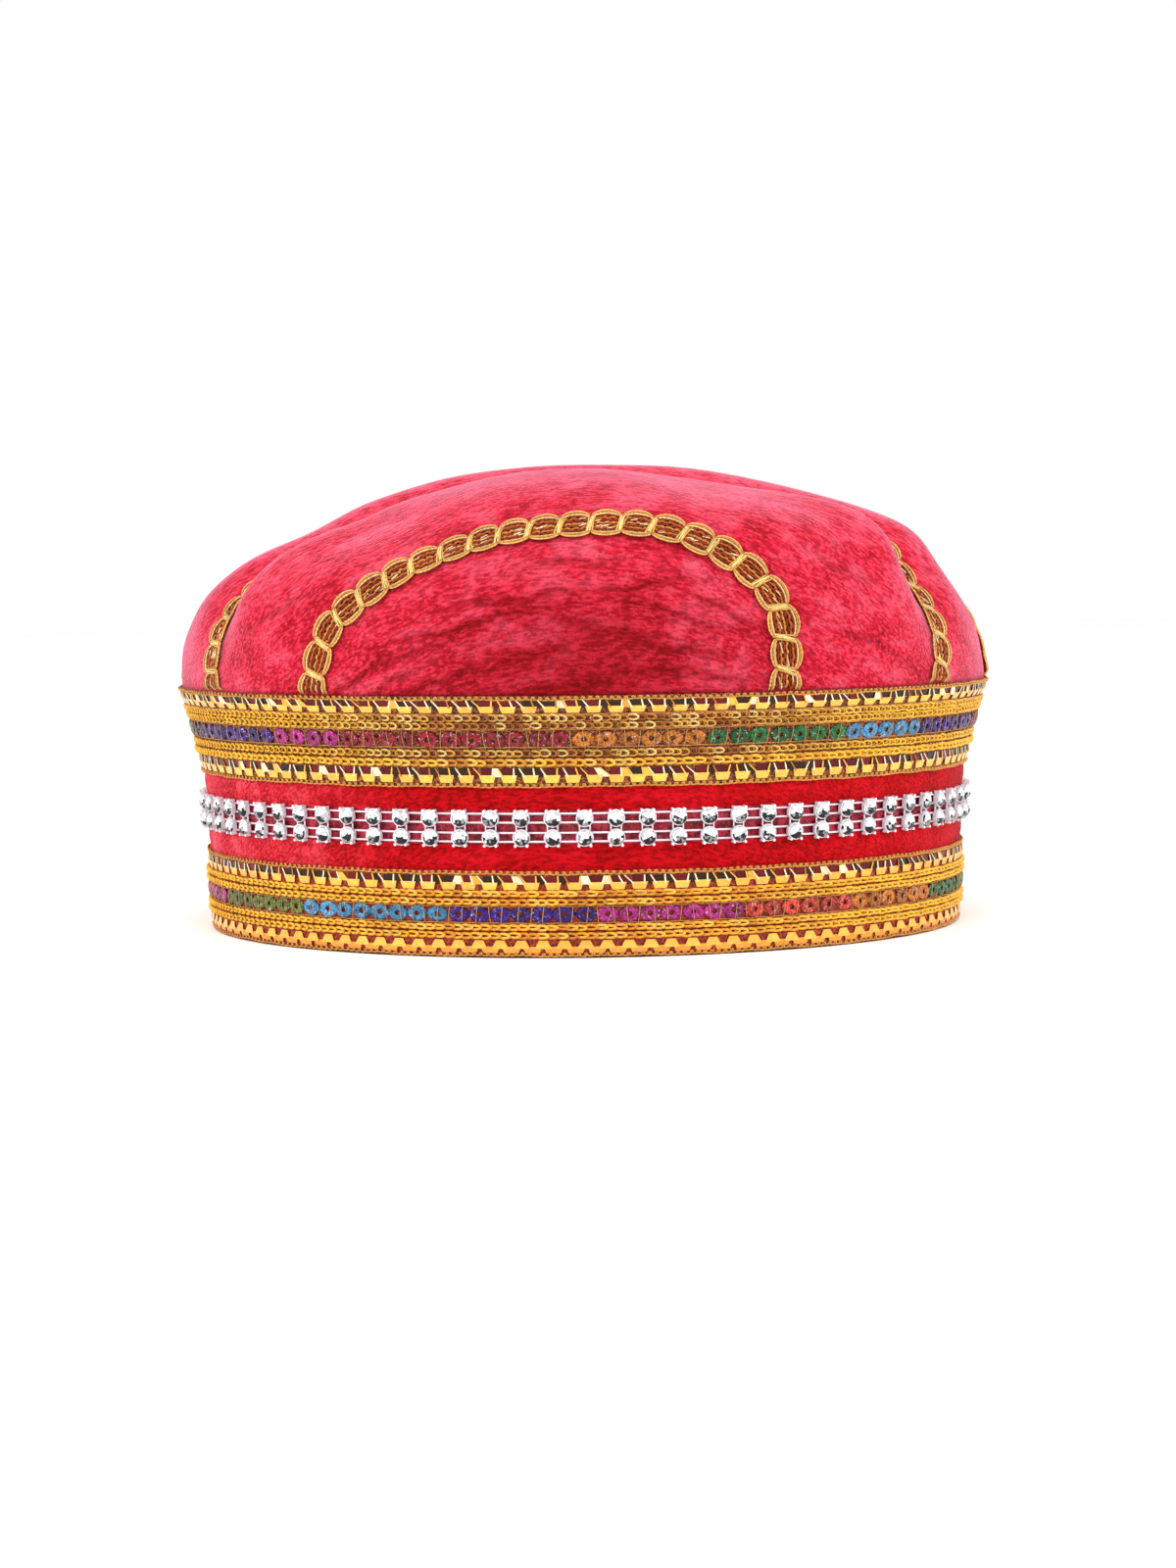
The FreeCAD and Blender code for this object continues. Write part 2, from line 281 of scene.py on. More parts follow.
def crown_normal(points):
    """Outward normals of the plain dome."""
    level = crown_level(points)
    across, deep, lean = crown_axes(level)
    x, y = points[..., 0] - lean, points[..., 1]
    narrowing = 0.5 * SIDE_POWER * level ** (SIDE_POWER - 1) / (1 - level ** SIDE_POWER)
    closing = 0.25 * FRONT_POWER * level ** (FRONT_POWER - 1) / (1 - level ** FRONT_POWER)
    drift = -2 * (level - LEAN_LEVEL) / LEAN_WIDTH ** 2 * lean
    up = (x / across) ** 2 * narrowing + (y / deep) ** 2 * closing - x / across ** 2 * drift
    return unit(np.stack([x / across ** 2, y / deep ** 2, up / CROWN_HEIGHT + 1e-9], axis=-1))


# The front arch of braid, seen from the front: (x, z). The other rows lie in planes through the
# crown, from where they cross its middle at the seam, leaning back with height and askew.
ARCH = np.array([(-59.0, 52.0), (-55.6, 68.0), (-48.0, 76.5), (-36.0, 84.0), (-20.0, 89.8), (0.0, 92.4),
                 (17.0, 91.2), (30.0, 86.0), (39.5, 78.0), (43.2, 68.0), (42.4, 52.0)])
SIDE_ROW = {"foot": -41.9, "lean": 0.31, "skew": -0.034}
MIDDLE_ROW = {"foot": 0.0, "lean": 0.0, "skew": -0.06}
VALLEY = {"arch": (1.4, 6.5), "side": (4.6, 6.2), "middle": (2.6, 7.5)}     # depth, half width


def spline(points, count):
    """Smooth curve through given points (Catmull-Rom), sampled evenly in its parameter."""
    padded = np.concatenate([[2 * points[0] - points[1]], points, [2 * points[-1] - points[-2]]])
    at = np.linspace(0, len(points) - 1 - 1e-9, count)
    i, f = at.astype(int), (at % 1)[:, None]
    a, b, c, d = (padded[i + k] for k in range(4))
    return 0.5 * (2 * b + (c - a) * f + (2 * a - 5 * b + 4 * c - d) * f ** 2
                  + (3 * b - a - 3 * c + d) * f ** 3)


ARCH_LINE = spline(ARCH, 240)


def row_distance(points, row):
    """Distance from a row of braid that lies in a plane."""
    x, y, z = np.moveaxis(points, -1, 0)
    away = y - row["foot"] - row["lean"] * (z - SEAM) - row["skew"] * x
    return away / math.sqrt(1 + row["lean"] ** 2 + row["skew"] ** 2)


def arch_distance(points):
    """Distance from the front arch, seen from the front; large behind the crown's middle."""
    flat = points.reshape(-1, 3)
    away = np.full(len(flat), 1e3)
    front = np.flatnonzero(flat[:, 1] < -20)
    for part in np.array_split(front, max(1, len(front) // 4000)):
        gaps = flat[part][:, None, [0, 2]] - ARCH_LINE[None]
        away[part] = np.sqrt((gaps ** 2).sum(-1).min(1))
    return away.reshape(points.shape[:-1])


def half_turn(points):
    """The same places seen from behind: the back of the crown repeats its front."""
    return points * np.array([-1.0, -1.0, 1.0])


# Fine creases in the crown: middle (x, z), slope, half length and strength of each.
CREASES = np.array([
    (-48, 60, 0.62, 8, 1.0), (-42, 58, 0.55, 8, 0.9), (-36, 65, 0.42, 9, 0.8), (-31, 59, 0.4, 10, 1.0),
    (-24, 71, 0.24, 15, 1.1), (-16, 76, 0.14, 14, 0.8), (-12, 64, 0.35, 10, 0.7), (4, 70, -0.25, 9, 0.8),
    (14, 79, 0.1, 11, 0.7), (18, 66, -0.2, 13, 1.0), (31, 73, -0.45, 8, 0.9), (-3, 84, 0.06, 9, 0.6),
    (-66, 74, 0.5, 9, 0.7), (62, 66, -0.55, 10, 0.8), (56, 82, -0.5, 9, 0.6), (26, 60, -0.12, 12, 0.9),
    (22, 72, -0.3, 10, 0.8), (-8, 57, 0.2, 12, 0.8)])


def creases(points):
    """0 on smooth velvet and up to 1 in the fine creases where the crown was folded flat."""
    x, y, z = (points[..., k, None] for k in range(3))
    deepest = np.zeros(points.shape[:-1])
    for side in (-1, 1):
        near = smooth(-side * y[..., 0], 20, 45)
        across, left, up, run, half, depth = (side * x, *CREASES.T)
        wander = 0.5 * np.sin(across / 3.1 + left) + 0.25 * np.sin(across / 1.3 + up)
        from_line = (z - up) - run * (across - left) - wander
        marks = bell(from_line, 0.75) * bell(across - left, half) * depth
        deepest = np.maximum(deepest, marks.max(-1) * near)
    return deepest


def crown_relief(points):
    """How far the quilted velvet stands out from the plain dome: valleys under the braid, soft dents."""
    x, y, z = np.moveaxis(points, -1, 0)
    rise = smooth(z, SEAM, SEAM + 13)
    high = smooth(z, SEAM + 8, SEAM + 30)
    depth, width = VALLEY["middle"]
    valley = depth * (0.35 + 0.65 * high) * bell(row_distance(points, MIDDLE_ROW), width)
    crest = 0.0
    for view in (points, half_turn(points)):
        away = row_distance(view, SIDE_ROW)
        depth, width = VALLEY["side"]
        valley = np.maximum(valley, depth * (0.3 + 0.7 * high) * bell(away, width))
        ends = smooth(np.abs(view[..., 0]), 30, 62)
        crest = crest + (2.6 * bell(away + 10.5, 6.5) * ends + 0.9 * bell(away - 11, 7)) * high
        depth, width = VALLEY["arch"]
        valley = np.maximum(valley, depth * bell(arch_distance(view), width))
    puff = 0.35 * np.sin(x / 11.0 + 0.7 * np.sin(z / 9.0)) * np.cos(y / 13.0 + x / 31.0)
    puff += 0.22 * np.sin(x / 5.3 + z / 7.1 + 1.0) * np.sin(z / 6.0 - y / 8.0)
    return (puff + crest - valley - 0.55 * creases(points)) * rise + 0.3 * rise


# ---- Material helpers ----------------------------------------------------------------------
class Paint:
    """A node material. Each call adds a node and returns one of its outputs."""

    def __init__(self, name):
        self.material = bpy.data.materials.new(name)
        self.material.use_nodes = True
        self.tree = self.material.node_tree
        self.tree.nodes.clear()
        self.place = self.node("ShaderNodeTexCoord", output="Object")

    def node(self, kind, inputs=None, output=0, **settings):
        made = self.tree.nodes.new(kind)
        for key, value in settings.items():
            setattr(made, key, value)
        for key, value in (inputs or {}).items():
            if isinstance(value, bpy.types.NodeSocket):
                self.tree.links.new(value, made.inputs[key])
            else:
                made.inputs[key].default_value = value
        return made.outputs[output]

    def stretch(self, x, y, z, vector=None):
        """The place in the frame, scaled along each axis."""
        return self.node("ShaderNodeMapping", {"Vector": vector or self.place, "Scale": (x, y, z)})

    def noise(self, size, detail=3.0, rough=0.55, twist=0.0, vector=None):
        """Noise whose features are about `size` millimetres."""
        return self.node("ShaderNodeTexNoise", {
            "Vector": vector or self.place, "Scale": 1 / (size * MM), "Detail": detail,
            "Roughness": rough, "Distortion": twist})

    def ramp(self, value, *stops):
        """Colours or grey levels at positions along a value."""
        out = self.node("ShaderNodeValToRGB", {"Fac": value})
        band = out.node.color_ramp
        while len(band.elements) < len(stops):
            band.elements.new(0.5)
        for element, (at, colour) in zip(band.elements, stops):
            element.position = at
            element.color = (*((colour,) * 3 if isinstance(colour, (int, float)) else colour), 1)
        return out

    def mix(self, share, a, b, blend="MIX"):
        """Colour mix, whose sockets are numbered: 0 is the share, 6 and 7 its colours, 2 the result."""
        a, b = ((*c, 1.0) if isinstance(c, tuple) else c for c in (a, b))
        return self.node("ShaderNodeMix", {0: share, 6: a, 7: b}, output=2,
                         data_type="RGBA", blend_type=blend)

    def maths(self, operation, a, b):
        return self.node("ShaderNodeMath", {0: a, 1: b}, operation=operation)

    def bump(self, height, depth):
        """Bump of `depth` millimetres."""
        return self.node("ShaderNodeBump", {"Height": height, "Distance": depth * MM, "Strength": 1.0})

    def tint(self):
        """The piece's own tint, by face or by point."""
        return self.node("ShaderNodeAttribute", output="Color", attribute_name="tint")

    def finish(self, colour, **inputs):
        """The surface itself, from a Principled shader."""
        inputs = {key.replace("_", " "): value for key, value in inputs.items()}
        if isinstance(colour, tuple):
            colour = (*colour, 1.0)
        surface = self.node("ShaderNodeBsdfPrincipled", {"Base Color": colour, **inputs})
        end = self.tree.nodes.new("ShaderNodeOutputMaterial")
        self.tree.links.new(surface, end.inputs["Surface"])
        return self.material


def srgb(red, green, blue):
    """A colour as it looks on a screen, 0 to 255, as the linear values that shaders use."""
    levels = np.array([red, green, blue]) / 255
    linear = np.where(levels > 0.04045, ((levels + 0.055) / 1.055) ** 2.4, levels / 12.92)
    return tuple(float(v) for v in linear)


def velvet(name, deep, middle, light, sheen):
    """Crushed velvet: patches where the pile leans over, fine ribs across it, flecks and a soft bloom."""
    p = Paint(name)
    across = p.node("ShaderNodeSeparateXYZ", {0: p.place})
    bow = p.maths("MULTIPLY", across, across)
    lifted = p.node("ShaderNodeCombineXYZ", {"Z": p.maths("MULTIPLY", bow, 4.0)})
    bowed = p.node("ShaderNodeVectorMath", {0: p.place, 1: lifted}, operation="ADD")
    streaks = p.stretch(0.3, 1.0, 1.0, vector=bowed)
    patches = p.ramp(p.noise(12, 4, 0.6, 1.0), (0.36, 0.0), (0.64, 1.0))
    smears = p.ramp(p.noise(5.5, 4, 0.6, 0.8, streaks), (0.34, 0.0), (0.66, 1.0))
    ribs = p.ramp(p.noise(0.62, 1, 0.5, 0.2, streaks), (0.4, 0.0), (0.6, 1.0))
    flecks = p.ramp(p.noise(0.6, 3, 0.7), (0.36, 0.0), (0.64, 1.0))
    nap = p.ramp(p.mix(0.45, patches, smears), (0.0, deep), (0.5, middle), (1.0, light))
    pile = p.mix(0.4, ribs, flecks)
    colour = p.mix(1.0, nap, p.ramp(pile, (0.1, 0.52), (0.6, 1.0)), "MULTIPLY")
    colour = p.mix(p.ramp(pile, (0.6, 0.0), (1.0, 0.5)), colour, light)
    # Multiplied by the piece's tint: painted shade on the crown, painted light with the pile's lean on the
    # band.
    colour = p.mix(1.0, colour, p.tint(), "MULTIPLY")
    return p.finish(colour, Roughness=0.85, Specular_IOR_Level=0.1, Sheen_Weight=sheen, Sheen_Roughness=0.3,
                    Sheen_Tint=(*srgb(255, 180, 210), 1), Normal=p.bump(pile, 0.12))


def thread(name, metal, rough, size=0.35, spread=0.45):
    """Yarn or cord in the piece's own tints, broken up by its twist."""
    p = Paint(name)
    fibre = p.ramp(p.noise(size, 2, 0.6), (0.3, 1 - spread), (0.7, 1 + spread * 0.5))
    sway = p.ramp(p.noise(9, 2), (0.3, 0.82), (0.7, 1.0))
    colour = p.mix(1.0, p.mix(1.0, p.tint(), fibre, "MULTIPLY"), sway, "MULTIPLY")
    return p.finish(colour, Metallic=metal, Roughness=rough, Specular_IOR_Level=0.25,
                    Normal=p.bump(p.noise(size, 2), 0.12))


def cloth(name, dark, light, size, rough, sheen=0.0, weave=0.25, shine=0.3):
    """Plain woven cloth: a fine weave both ways and soft unevenness."""
    p = Paint(name)
    warp = p.noise(size, 1, 0.4, 0.0, p.stretch(1.0, 1.0, 0.2))
    weft = p.noise(size, 1, 0.4, 0.0, p.stretch(0.2, 0.2, 1.0))
    weave_marks = p.ramp(p.mix(0.5, warp, weft), (0.38, 0.0), (0.62, 1.0))
    uneven = p.ramp(p.noise(12, 3), (0.3, 0.0), (0.7, 1.0))
    colour = p.mix(p.mix(0.35, weave_marks, uneven), dark, light)
    return p.finish(colour, Roughness=rough, Specular_IOR_Level=shine, Sheen_Weight=sheen,
                    Normal=p.bump(weave_marks, weave))


CROWN_CLOTH = velvet("crown_velvet_pile", srgb(170, 0, 18), srgb(206, 27, 53), srgb(234, 84, 108), 1.0)
BAND_CLOTH = velvet("band_velvet_pile", srgb(180, 10, 24), srgb(212, 36, 52), srgb(240, 92, 108), 0.16)
GOLD_YARN = thread("gold_yarn", 0.0, 0.5, size=0.5, spread=0.4)
COPPER_YARN = thread("copper_yarn", 0.12, 0.42, spread=0.5)
BRAID_YARN = thread("braid_yarn", 0.25, 0.38, size=0.4, spread=0.45)
SATIN = cloth("satin_lining", srgb(120, 8, 20), srgb(170, 22, 38), 0.25, 0.32, 0.2, 0.05, 0.6)
COTTON = cloth("cotton_sweatband", srgb(196, 186, 168), srgb(232, 224, 208), 0.5, 0.85)
BINDING = cloth("cotton_binding", srgb(96, 6, 16), srgb(140, 16, 28), 0.5, 0.8)
CANVAS = cloth("buckram_canvas", srgb(190, 184, 170), srgb(226, 222, 210), 0.9, 0.8, weave=0.4)
PADDING = cloth("polyester_wadding", srgb(214, 214, 212), srgb(246, 246, 244), 1.4, 0.95, weave=0.8)


def net(name, thread_colour, gap_colour):
    """Ground net of a lace: fine threads, and gaps between them painted the velvet's red, darkened as
    painted shade.
    """
    p = Paint(name)
    mesh = p.node("ShaderNodeTexVoronoi", {"Vector": p.place, "Scale": 1100.0}, feature="DISTANCE_TO_EDGE")
    lines = p.ramp(mesh, (0.04, 1.0), (0.16, 0.0))
    uneven = p.ramp(p.noise(3, 3), (0.3, 0.5), (0.7, 1.0))
    colour = p.mix(p.mix(1.0, lines, uneven, "MULTIPLY"), gap_colour, thread_colour)
    return p.finish(colour, Roughness=0.6, Normal=p.bump(lines, 0.15))


def foil_paint():
    """Thin metal foil, creased, in the tint of each fold."""
    p = Paint("foil_pleats")
    crease = p.noise(1.3, 3, 0.6, 0.8)
    shade = p.ramp(p.noise(0.8, 2), (0.3, 0.85), (0.7, 1.08))
    colour = p.mix(1.0, p.tint(), shade, "MULTIPLY")
    return p.finish(colour, Metallic=0.4, Roughness=0.28, Specular_IOR_Level=0.3, Coat_Weight=0.08,
                    Coat_Roughness=0.15, Normal=p.bump(crease, 0.15))


def sequin_paint():
    """Thin pearly plastic film, crazed, with painted glints, lighter and darker, across each sequin, and a
    painted glare towards pale pink.
    """
    p = Paint("sequin_film")
    painted_pearl_glints = p.ramp(p.noise(1.0, 3, 0.7, 1.8), (0.38, 0.15), (0.5, 0.62), (0.62, 1.1))
    glare = p.ramp(p.noise(0.8, 3, 0.7, 1.2), (0.6, 0.0), (0.68, 0.6))
    colour = p.mix(glare, p.mix(1.0, p.tint(), painted_pearl_glints, "MULTIPLY"), srgb(255, 226, 232))
    return p.finish(colour, Roughness=0.22, Specular_IOR_Level=0.25, Coat_Weight=0.08, Coat_Roughness=0.06,
                    Normal=p.bump(p.noise(0.7, 3, 0.6, 0.8), 0.2))


def stone_paint():
    """Cut glass with a foiled back; its facet tints are painted reflections, light or dark, broken up by a
    sparkle noise.
    """
    p = Paint("cut_stone")
    sparkle = p.ramp(p.noise(0.9, 2, 0.6, 1.0), (0.38, 0.55), (0.56, 1.0))
    colour = p.mix(1.0, p.tint(), sparkle, "MULTIPLY")
    return p.finish(colour, Roughness=0.06, Metallic=0.3, Specular_IOR_Level=0.25, Coat_Weight=0.25,
                    Coat_Roughness=0.02, Normal=p.bump(p.noise(0.5, 1), 0.02))


def silver_paint(name, tone):
    """Plated wire and cups, a little worn."""
    p = Paint(name)
    wear = p.ramp(p.noise(1.2, 3), (0.3, 0.8), (0.65, 1.0))
    colour = p.mix(1.0, tone, wear, "MULTIPLY")
    return p.finish(colour, Metallic=0.35, Roughness=0.32, Normal=p.bump(p.noise(0.4, 2), 0.05))


def film_paint():
    """Clear pinkish film behind the stone chain."""
    p = Paint("chain_film")
    haze = p.ramp(p.noise(2.5, 3, 0.6, 1.0), (0.4, 0.3), (0.65, 0.6))
    tone = p.mix(p.ramp(p.noise(1.6, 3), (0.4, 0.0), (0.6, 1.0)), srgb(84, 0, 18), srgb(196, 40, 70))
    return p.finish(tone, Roughness=0.25, Alpha=haze, Specular_IOR_Level=0.3, Coat_Weight=0.15,
                    Coat_Roughness=0.1)


FOIL = foil_paint()
SEQUIN = sequin_paint()
STONE = stone_paint()
SILVER = silver_paint("plated_cups", srgb(236, 236, 242))
WIRE = silver_paint("plated_wire", srgb(250, 228, 236))
FILM = film_paint()


# ---- Crown: velvet, wadding and lining -----------------------------------------------------
CROWDING, TOP_CROWDING = 0.17, 3.5      # how much closer its points lie at the front and near the top
LINING_DEPTH = 4.0
GAP = 0.1                               # between neighbouring layers


def dome_grid(columns, rows):
    """Points of the plain dome from the seam up, and round from the front, where they lie closest."""
    turn = circle(columns)
    turn = turn - CROWDING * np.sin(2 * turn)
    level = np.minimum(1 - (1 - np.linspace(0, 1, rows)) ** TOP_CROWDING, 1 - 1e-9)[:, None]
    across, deep, lean = crown_axes(level)
    return np.stack(np.broadcast_arrays(across * np.sin(turn) + lean, -deep * np.cos(turn),
                                        SEAM + CROWN_HEIGHT * level), axis=-1)


def shell(gather, outer, inner):
    """Closed dome-shaped shell between two grids whose columns are the same."""
    columns = outer.shape[1]
    around = np.arange(columns)
    onward = (around + 1) % columns
    peaks = np.stack([outer[-1].mean(0), inner[-1].mean(0)])
    first = outer.shape[0] * columns
    last_out, last_in = first - columns, first + (inner.shape[0] - 1) * columns
    peak = first + inner.shape[0] * columns
    faces = [grid_faces(*outer.shape[:2], wrap_columns=True),
             grid_faces(*inner.shape[:2], wrap_columns=True)[:, ::-1] + first,
             np.stack([around, around + first, onward + first, onward], axis=-1),
             np.stack([last_out + around, last_out + onward, np.full(columns, peak)], axis=-1),
             np.stack([last_in + onward, last_in + around, np.full(columns, peak + 1)], axis=-1)]
    gather.add(np.concatenate([outer.reshape(-1, 3), inner.reshape(-1, 3), peaks]), faces)


def crown_piece(name, slot, material, node, grids, gaps, tone=None):
    """A closed layer of the crown. grids are points of the plain dome for its outer and inner face, and
    gaps are functions that say how far off the dome each face lies."""
    layer = Gather()
    shell(layer, *(grid + crown_normal(grid) * gap(grid)[..., None] for grid, gap in zip(grids, gaps)))
    if tone:
        layer.shade(tone)
    return layer.piece(name, slot, material, [node])


def under_velvet(points):
    return crown_relief(points) - VELVET - GAP


def wadding_top(points):
    return under_velvet(points) - 0.2 * GAP


def over_lining(points):
    return np.minimum(-LINING_DEPTH, under_velvet(points) - 2 * GAP)


def lining_back(points):
    return over_lining(points) - 0.5 * GAP


def lining_folds(points):
    """The lining hangs in shallow folds inside the crown."""
    x, y, z = np.moveaxis(points, -1, 0)
    folds = np.sin(x / 9.0 + 1.3 * np.sin(y / 21.0)) * np.cos(y / 15.0 - z / 17.0)
    fine = 0.4 * np.sin(x / 3.7 - y / 6.1) * np.sin(z / 5.0 + x / 14.0)
    slack = 0.5 * (1 + folds) * smooth(z, SEAM, SEAM + 12) + 0.3 * (1 + fine)
    return over_lining(points) - 0.65 - slack


def crown_painted_shade_and_nap(points):
    """Painted shade on the crown velvet: darker in the creases, under and beside the arch braids, along the
    side rows' valleys and in a thin line at the seam. Low inside the front and back arches it is partly
    painted shade and partly the pile lying another way.
    """
    x, y, z = np.moveaxis(points, -1, 0)
    away = np.minimum(arch_distance(points), arch_distance(half_turn(points)))
    # Low inside each arch: partly painted shade, partly the pile's own lean.
    inside = bell(x, 36) * bell(z - 58, 26) * smooth(np.abs(y), 15, 30)
    # Painted shade: creases, beside the arch braids, inside the arches and a thin line at the seam.
    dark = 0.95 * creases(points) + 0.3 * bell(away, 3.6) + 0.74 * inside + 0.3 * bell(z - SEAM, 1.5)
    # Painted shade along the valleys of the side rows.
    for view in (points, half_turn(points)):
        dark += 0.3 * bell(row_distance(view, SIDE_ROW), 3.4)
    return 1 - np.clip(dark, 0, 0.9)[..., None] * np.array([0.62, 1.0, 0.96])


crown_cloth = crown_piece("crown_cloth", "crimson_velvet", CROWN_CLOTH, "crown_velvet",
                          (dome_grid(480, 140), dome_grid(480, 24)), (crown_relief, under_velvet), crown_painted_shade_and_nap)
crown_pad = crown_piece("crown_pad", "wadding", PADDING, "crown_wadding",
                        (dome_grid(160, 50), dome_grid(160, 30)), (wadding_top, over_lining))
crown_satin = crown_piece("crown_satin", "satin_lining", SATIN, "crown_lining",
                          (dome_grid(240, 40), dome_grid(240, 80)), (lining_back, lining_folds))


# ---- Band: velvet, lining, sweatband and binding -------------------------------------------
def band_ring(columns, parts, wave):
    """Closed ring of one section. parts hold its points, out and height; wave moves points out."""
    gather = Gather()
    profile = np.concatenate(parts)
    share = np.arange(columns) / columns
    out, z = profile[:, :1], profile[:, 1:]
    points, _ = band_place(share, z + 0 * share, out + wave(share, z, out))
    gather.add(points, grid_faces(len(profile), columns, True, True)[:, ::-1])
    return gather


def line(start, end, count):
    """Straight part of a section, without its last point."""
    return np.linspace(start, end, count)[:-1]


def bend(centre, radii, first, last, count):
    """Part of an oval in a section, in degrees from outwards (0) to up (90)."""
    turn = np.radians(np.linspace(first, last, count))[:-1]
    return np.stack([centre[0] + radii[0] * np.cos(turn), centre[1] + radii[1] * np.sin(turn)], axis=-1)


def band_swell(share, z, out):
    """The bare velvet swells a little between the laces and the chain, and is never quite even."""
    lace_low, lace_high = heights("upper_lace_tape")[0], heights("lower_lace_tape")[1]
    film_low, film_high = heights("chain_backing")
    puff = 0.3 * bell(z - (lace_high + film_low) / 2, 2.0) + 0.3 * bell(z - (lace_low + film_high) / 2, 1.9)
    turn = share * TURN
    uneven = 0.5 + 0.5 * np.sin(turn * 37 + z / 3.0) * np.sin(turn * 23 - z / 4.1)
    dips = 0.06 * np.sin(turn * 61 + z)
    inside = out < -2.0
    return np.where(inside, dips, puff * (0.5 + uneven * 0.8) * (out > -0.6) - 0.05)


BUCKRAM = 1.2
TURNED_IN = -VELVET - BUCKRAM - 1.0     # inner face of the velvet that is turned in
CLOTH_BACK = -1.1                       # back of the velvet on the outside
HEM = 1.5                               # radius of the fold at the rim
TURN_IN_END = TURN_IN_TOP - 0.5


def band_nap_and_painted_light(points):
    """The band is painted pinker at its left end and deeper red from the middle to the right: partly the
    pile leaning to one side, partly painted light that is brighter on the left.
    """
    # Painted light and shade with the pile's lean: 0 at the left end, 1 from the middle rightwards, where
    # the red is deepened.
    deep = smooth(points[..., 0] / RIM_HALF, -1.05, -0.4)[..., None]
    return 1 - deep * np.array([0.3, 0.97, 0.92])


band = band_ring(560, [
    line((0, SEAM - 0.05), (0, 37), 20),
    line((0, 37), (0, 18), 40),
    line((0, 18), (0, HEM), 14),
    bend((TURNED_IN / 2, HEM), (-TURNED_IN / 2, HEM), 0, -180, 14),
    line((TURNED_IN, HEM), (TURNED_IN, TURN_IN_END), 16),
    bend((TURNED_IN + 0.5, TURN_IN_END), (0.5, 0.5), 180, 0, 6),
    line((TURNED_IN + 0.97, TURN_IN_END), (TURNED_IN + 0.97, HEM + 0.1), 6),
    bend((TURNED_IN / 2, HEM + 0.1), (CLOTH_BACK - TURNED_IN / 2, 0.4), 180, 360, 8),
    line((CLOTH_BACK, HEM + 0.1), (CLOTH_BACK, SEAM - 0.05), 14),
    [(CLOTH_BACK, SEAM - 0.05)]], band_swell)
band.shade(band_nap_and_painted_light)
band_cloth = band.piece("band_cloth", "crimson_velvet", BAND_CLOTH, ["band_velvet"])


def satin_pulls(share, z, out):
    """Upright pulls in the band's lining, from its stitched edges."""
    pulls = np.sin(share * TURN * 84 + 0.8 * np.sin(share * TURN * 11))
    return -0.22 * (1 + pulls) * smooth(-out, 2.9, 3.1) * bell(z - 37, 14)


SATIN_BACK, SATIN_FACE, SATIN_LOW = -2.65, -3.1, TURN_IN_TOP + 0.3
satin = band_ring(420, [
    line((SATIN_BACK, SEAM - 0.1), (SATIN_BACK, SATIN_LOW), 10),
    line((SATIN_BACK, SATIN_LOW), (SATIN_FACE, SATIN_LOW), 3),
    line((SATIN_FACE, SATIN_LOW), (SATIN_FACE, SEAM - 0.1), 24),
    [(SATIN_FACE, SEAM - 0.1)]], satin_pulls)
band_satin = satin.piece("band_satin", "satin_lining", SATIN, ["band_lining"])


def cotton_waves(share, z, out):
    """The sweatband's inner face waves a little."""
    return -0.12 * (1 + np.sin(share * TURN * 19)) * smooth(-out, 3.9, 4.3)


def stitches(gather, z, out, length, gap, radius, tint):
    """A row of separate stitches round the inside of the band."""
    count = round(girth(z) / (length + gap))
    share = (np.arange(count)[:, None] + np.linspace(0, length / (length + gap), 6)) / count
    dip = radius * 1.3 * np.cos(np.linspace(-math.pi / 2, math.pi / 2, 6))
    band_thread(gather, share, z, out - dip, radius, sides=5, tint=tint)


SWEAT_LOW, SWEAT_HIGH = heights("sweatband")
SWEAT_OUT = TURNED_IN - 0.05
SWEAT_IN = TURNED_IN - 0.85
SWEAT_MIDDLE = (SWEAT_OUT + SWEAT_IN) / 2
cotton = band_ring(420, [
    line((SWEAT_OUT, SWEAT_HIGH - 0.1), (SWEAT_OUT, SWEAT_LOW + 0.1), 6),
    bend((SWEAT_MIDDLE, SWEAT_LOW + 0.4), (0.4, 0.35), 0, -180, 8),
    line((SWEAT_IN, SWEAT_LOW + 0.4), (SWEAT_IN, SWEAT_HIGH - 0.4), 26),
    bend((SWEAT_MIDDLE, SWEAT_HIGH - 0.4), (0.4, 0.35), 180, 0, 8),
    [(SWEAT_OUT, SWEAT_HIGH - 0.2)]], cotton_waves)
for height in (SWEAT_LOW + 1.3, SWEAT_HIGH - 1.3):
    stitches(cotton, height, SWEAT_IN - 0.15, 2.4, 1.0, 0.17, srgb(245, 240, 228))
sweat_cotton = cotton.piece("sweat_cotton", "cotton_sweatband", COTTON, ["sweatband"])

BIND_LOW = heights("seam_binding")[0]
BIND_BACK, BIND_MIDDLE = -3.3, -4.2


def binding_pulls(share, z, out):
    """Small slanting pulls where the binding is stitched down over the seam."""
    pulls = np.sin(share * TURN * 96 + z / 2.2)
    return -0.2 * (1 + pulls) * smooth(-out, 3.6, 4.6)


binding = band_ring(480, [
    line((BIND_BACK, SEAM - 0.1), (BIND_BACK, BIND_LOW + 0.6), 8),
    bend((BIND_MIDDLE, BIND_LOW + 3.2), (0.9, 3.1), 0, -90, 8),
    bend((BIND_MIDDLE, BIND_LOW + 3.6), (1.0, 3.5), -90, -180, 10),
    bend((BIND_MIDDLE, SEAM - 2.9), (1.0, 2.8), 180, 90, 10),
    [(BIND_MIDDLE + 0.3, SEAM - 0.1)]], binding_pulls)
stitches(binding, BIND_LOW + 1.6, -5.25, 2.0, 2.2, 0.16, srgb(150, 30, 44))
bound_seam = binding.piece("bound_seam", "cotton_binding", BINDING, ["seam_binding"])


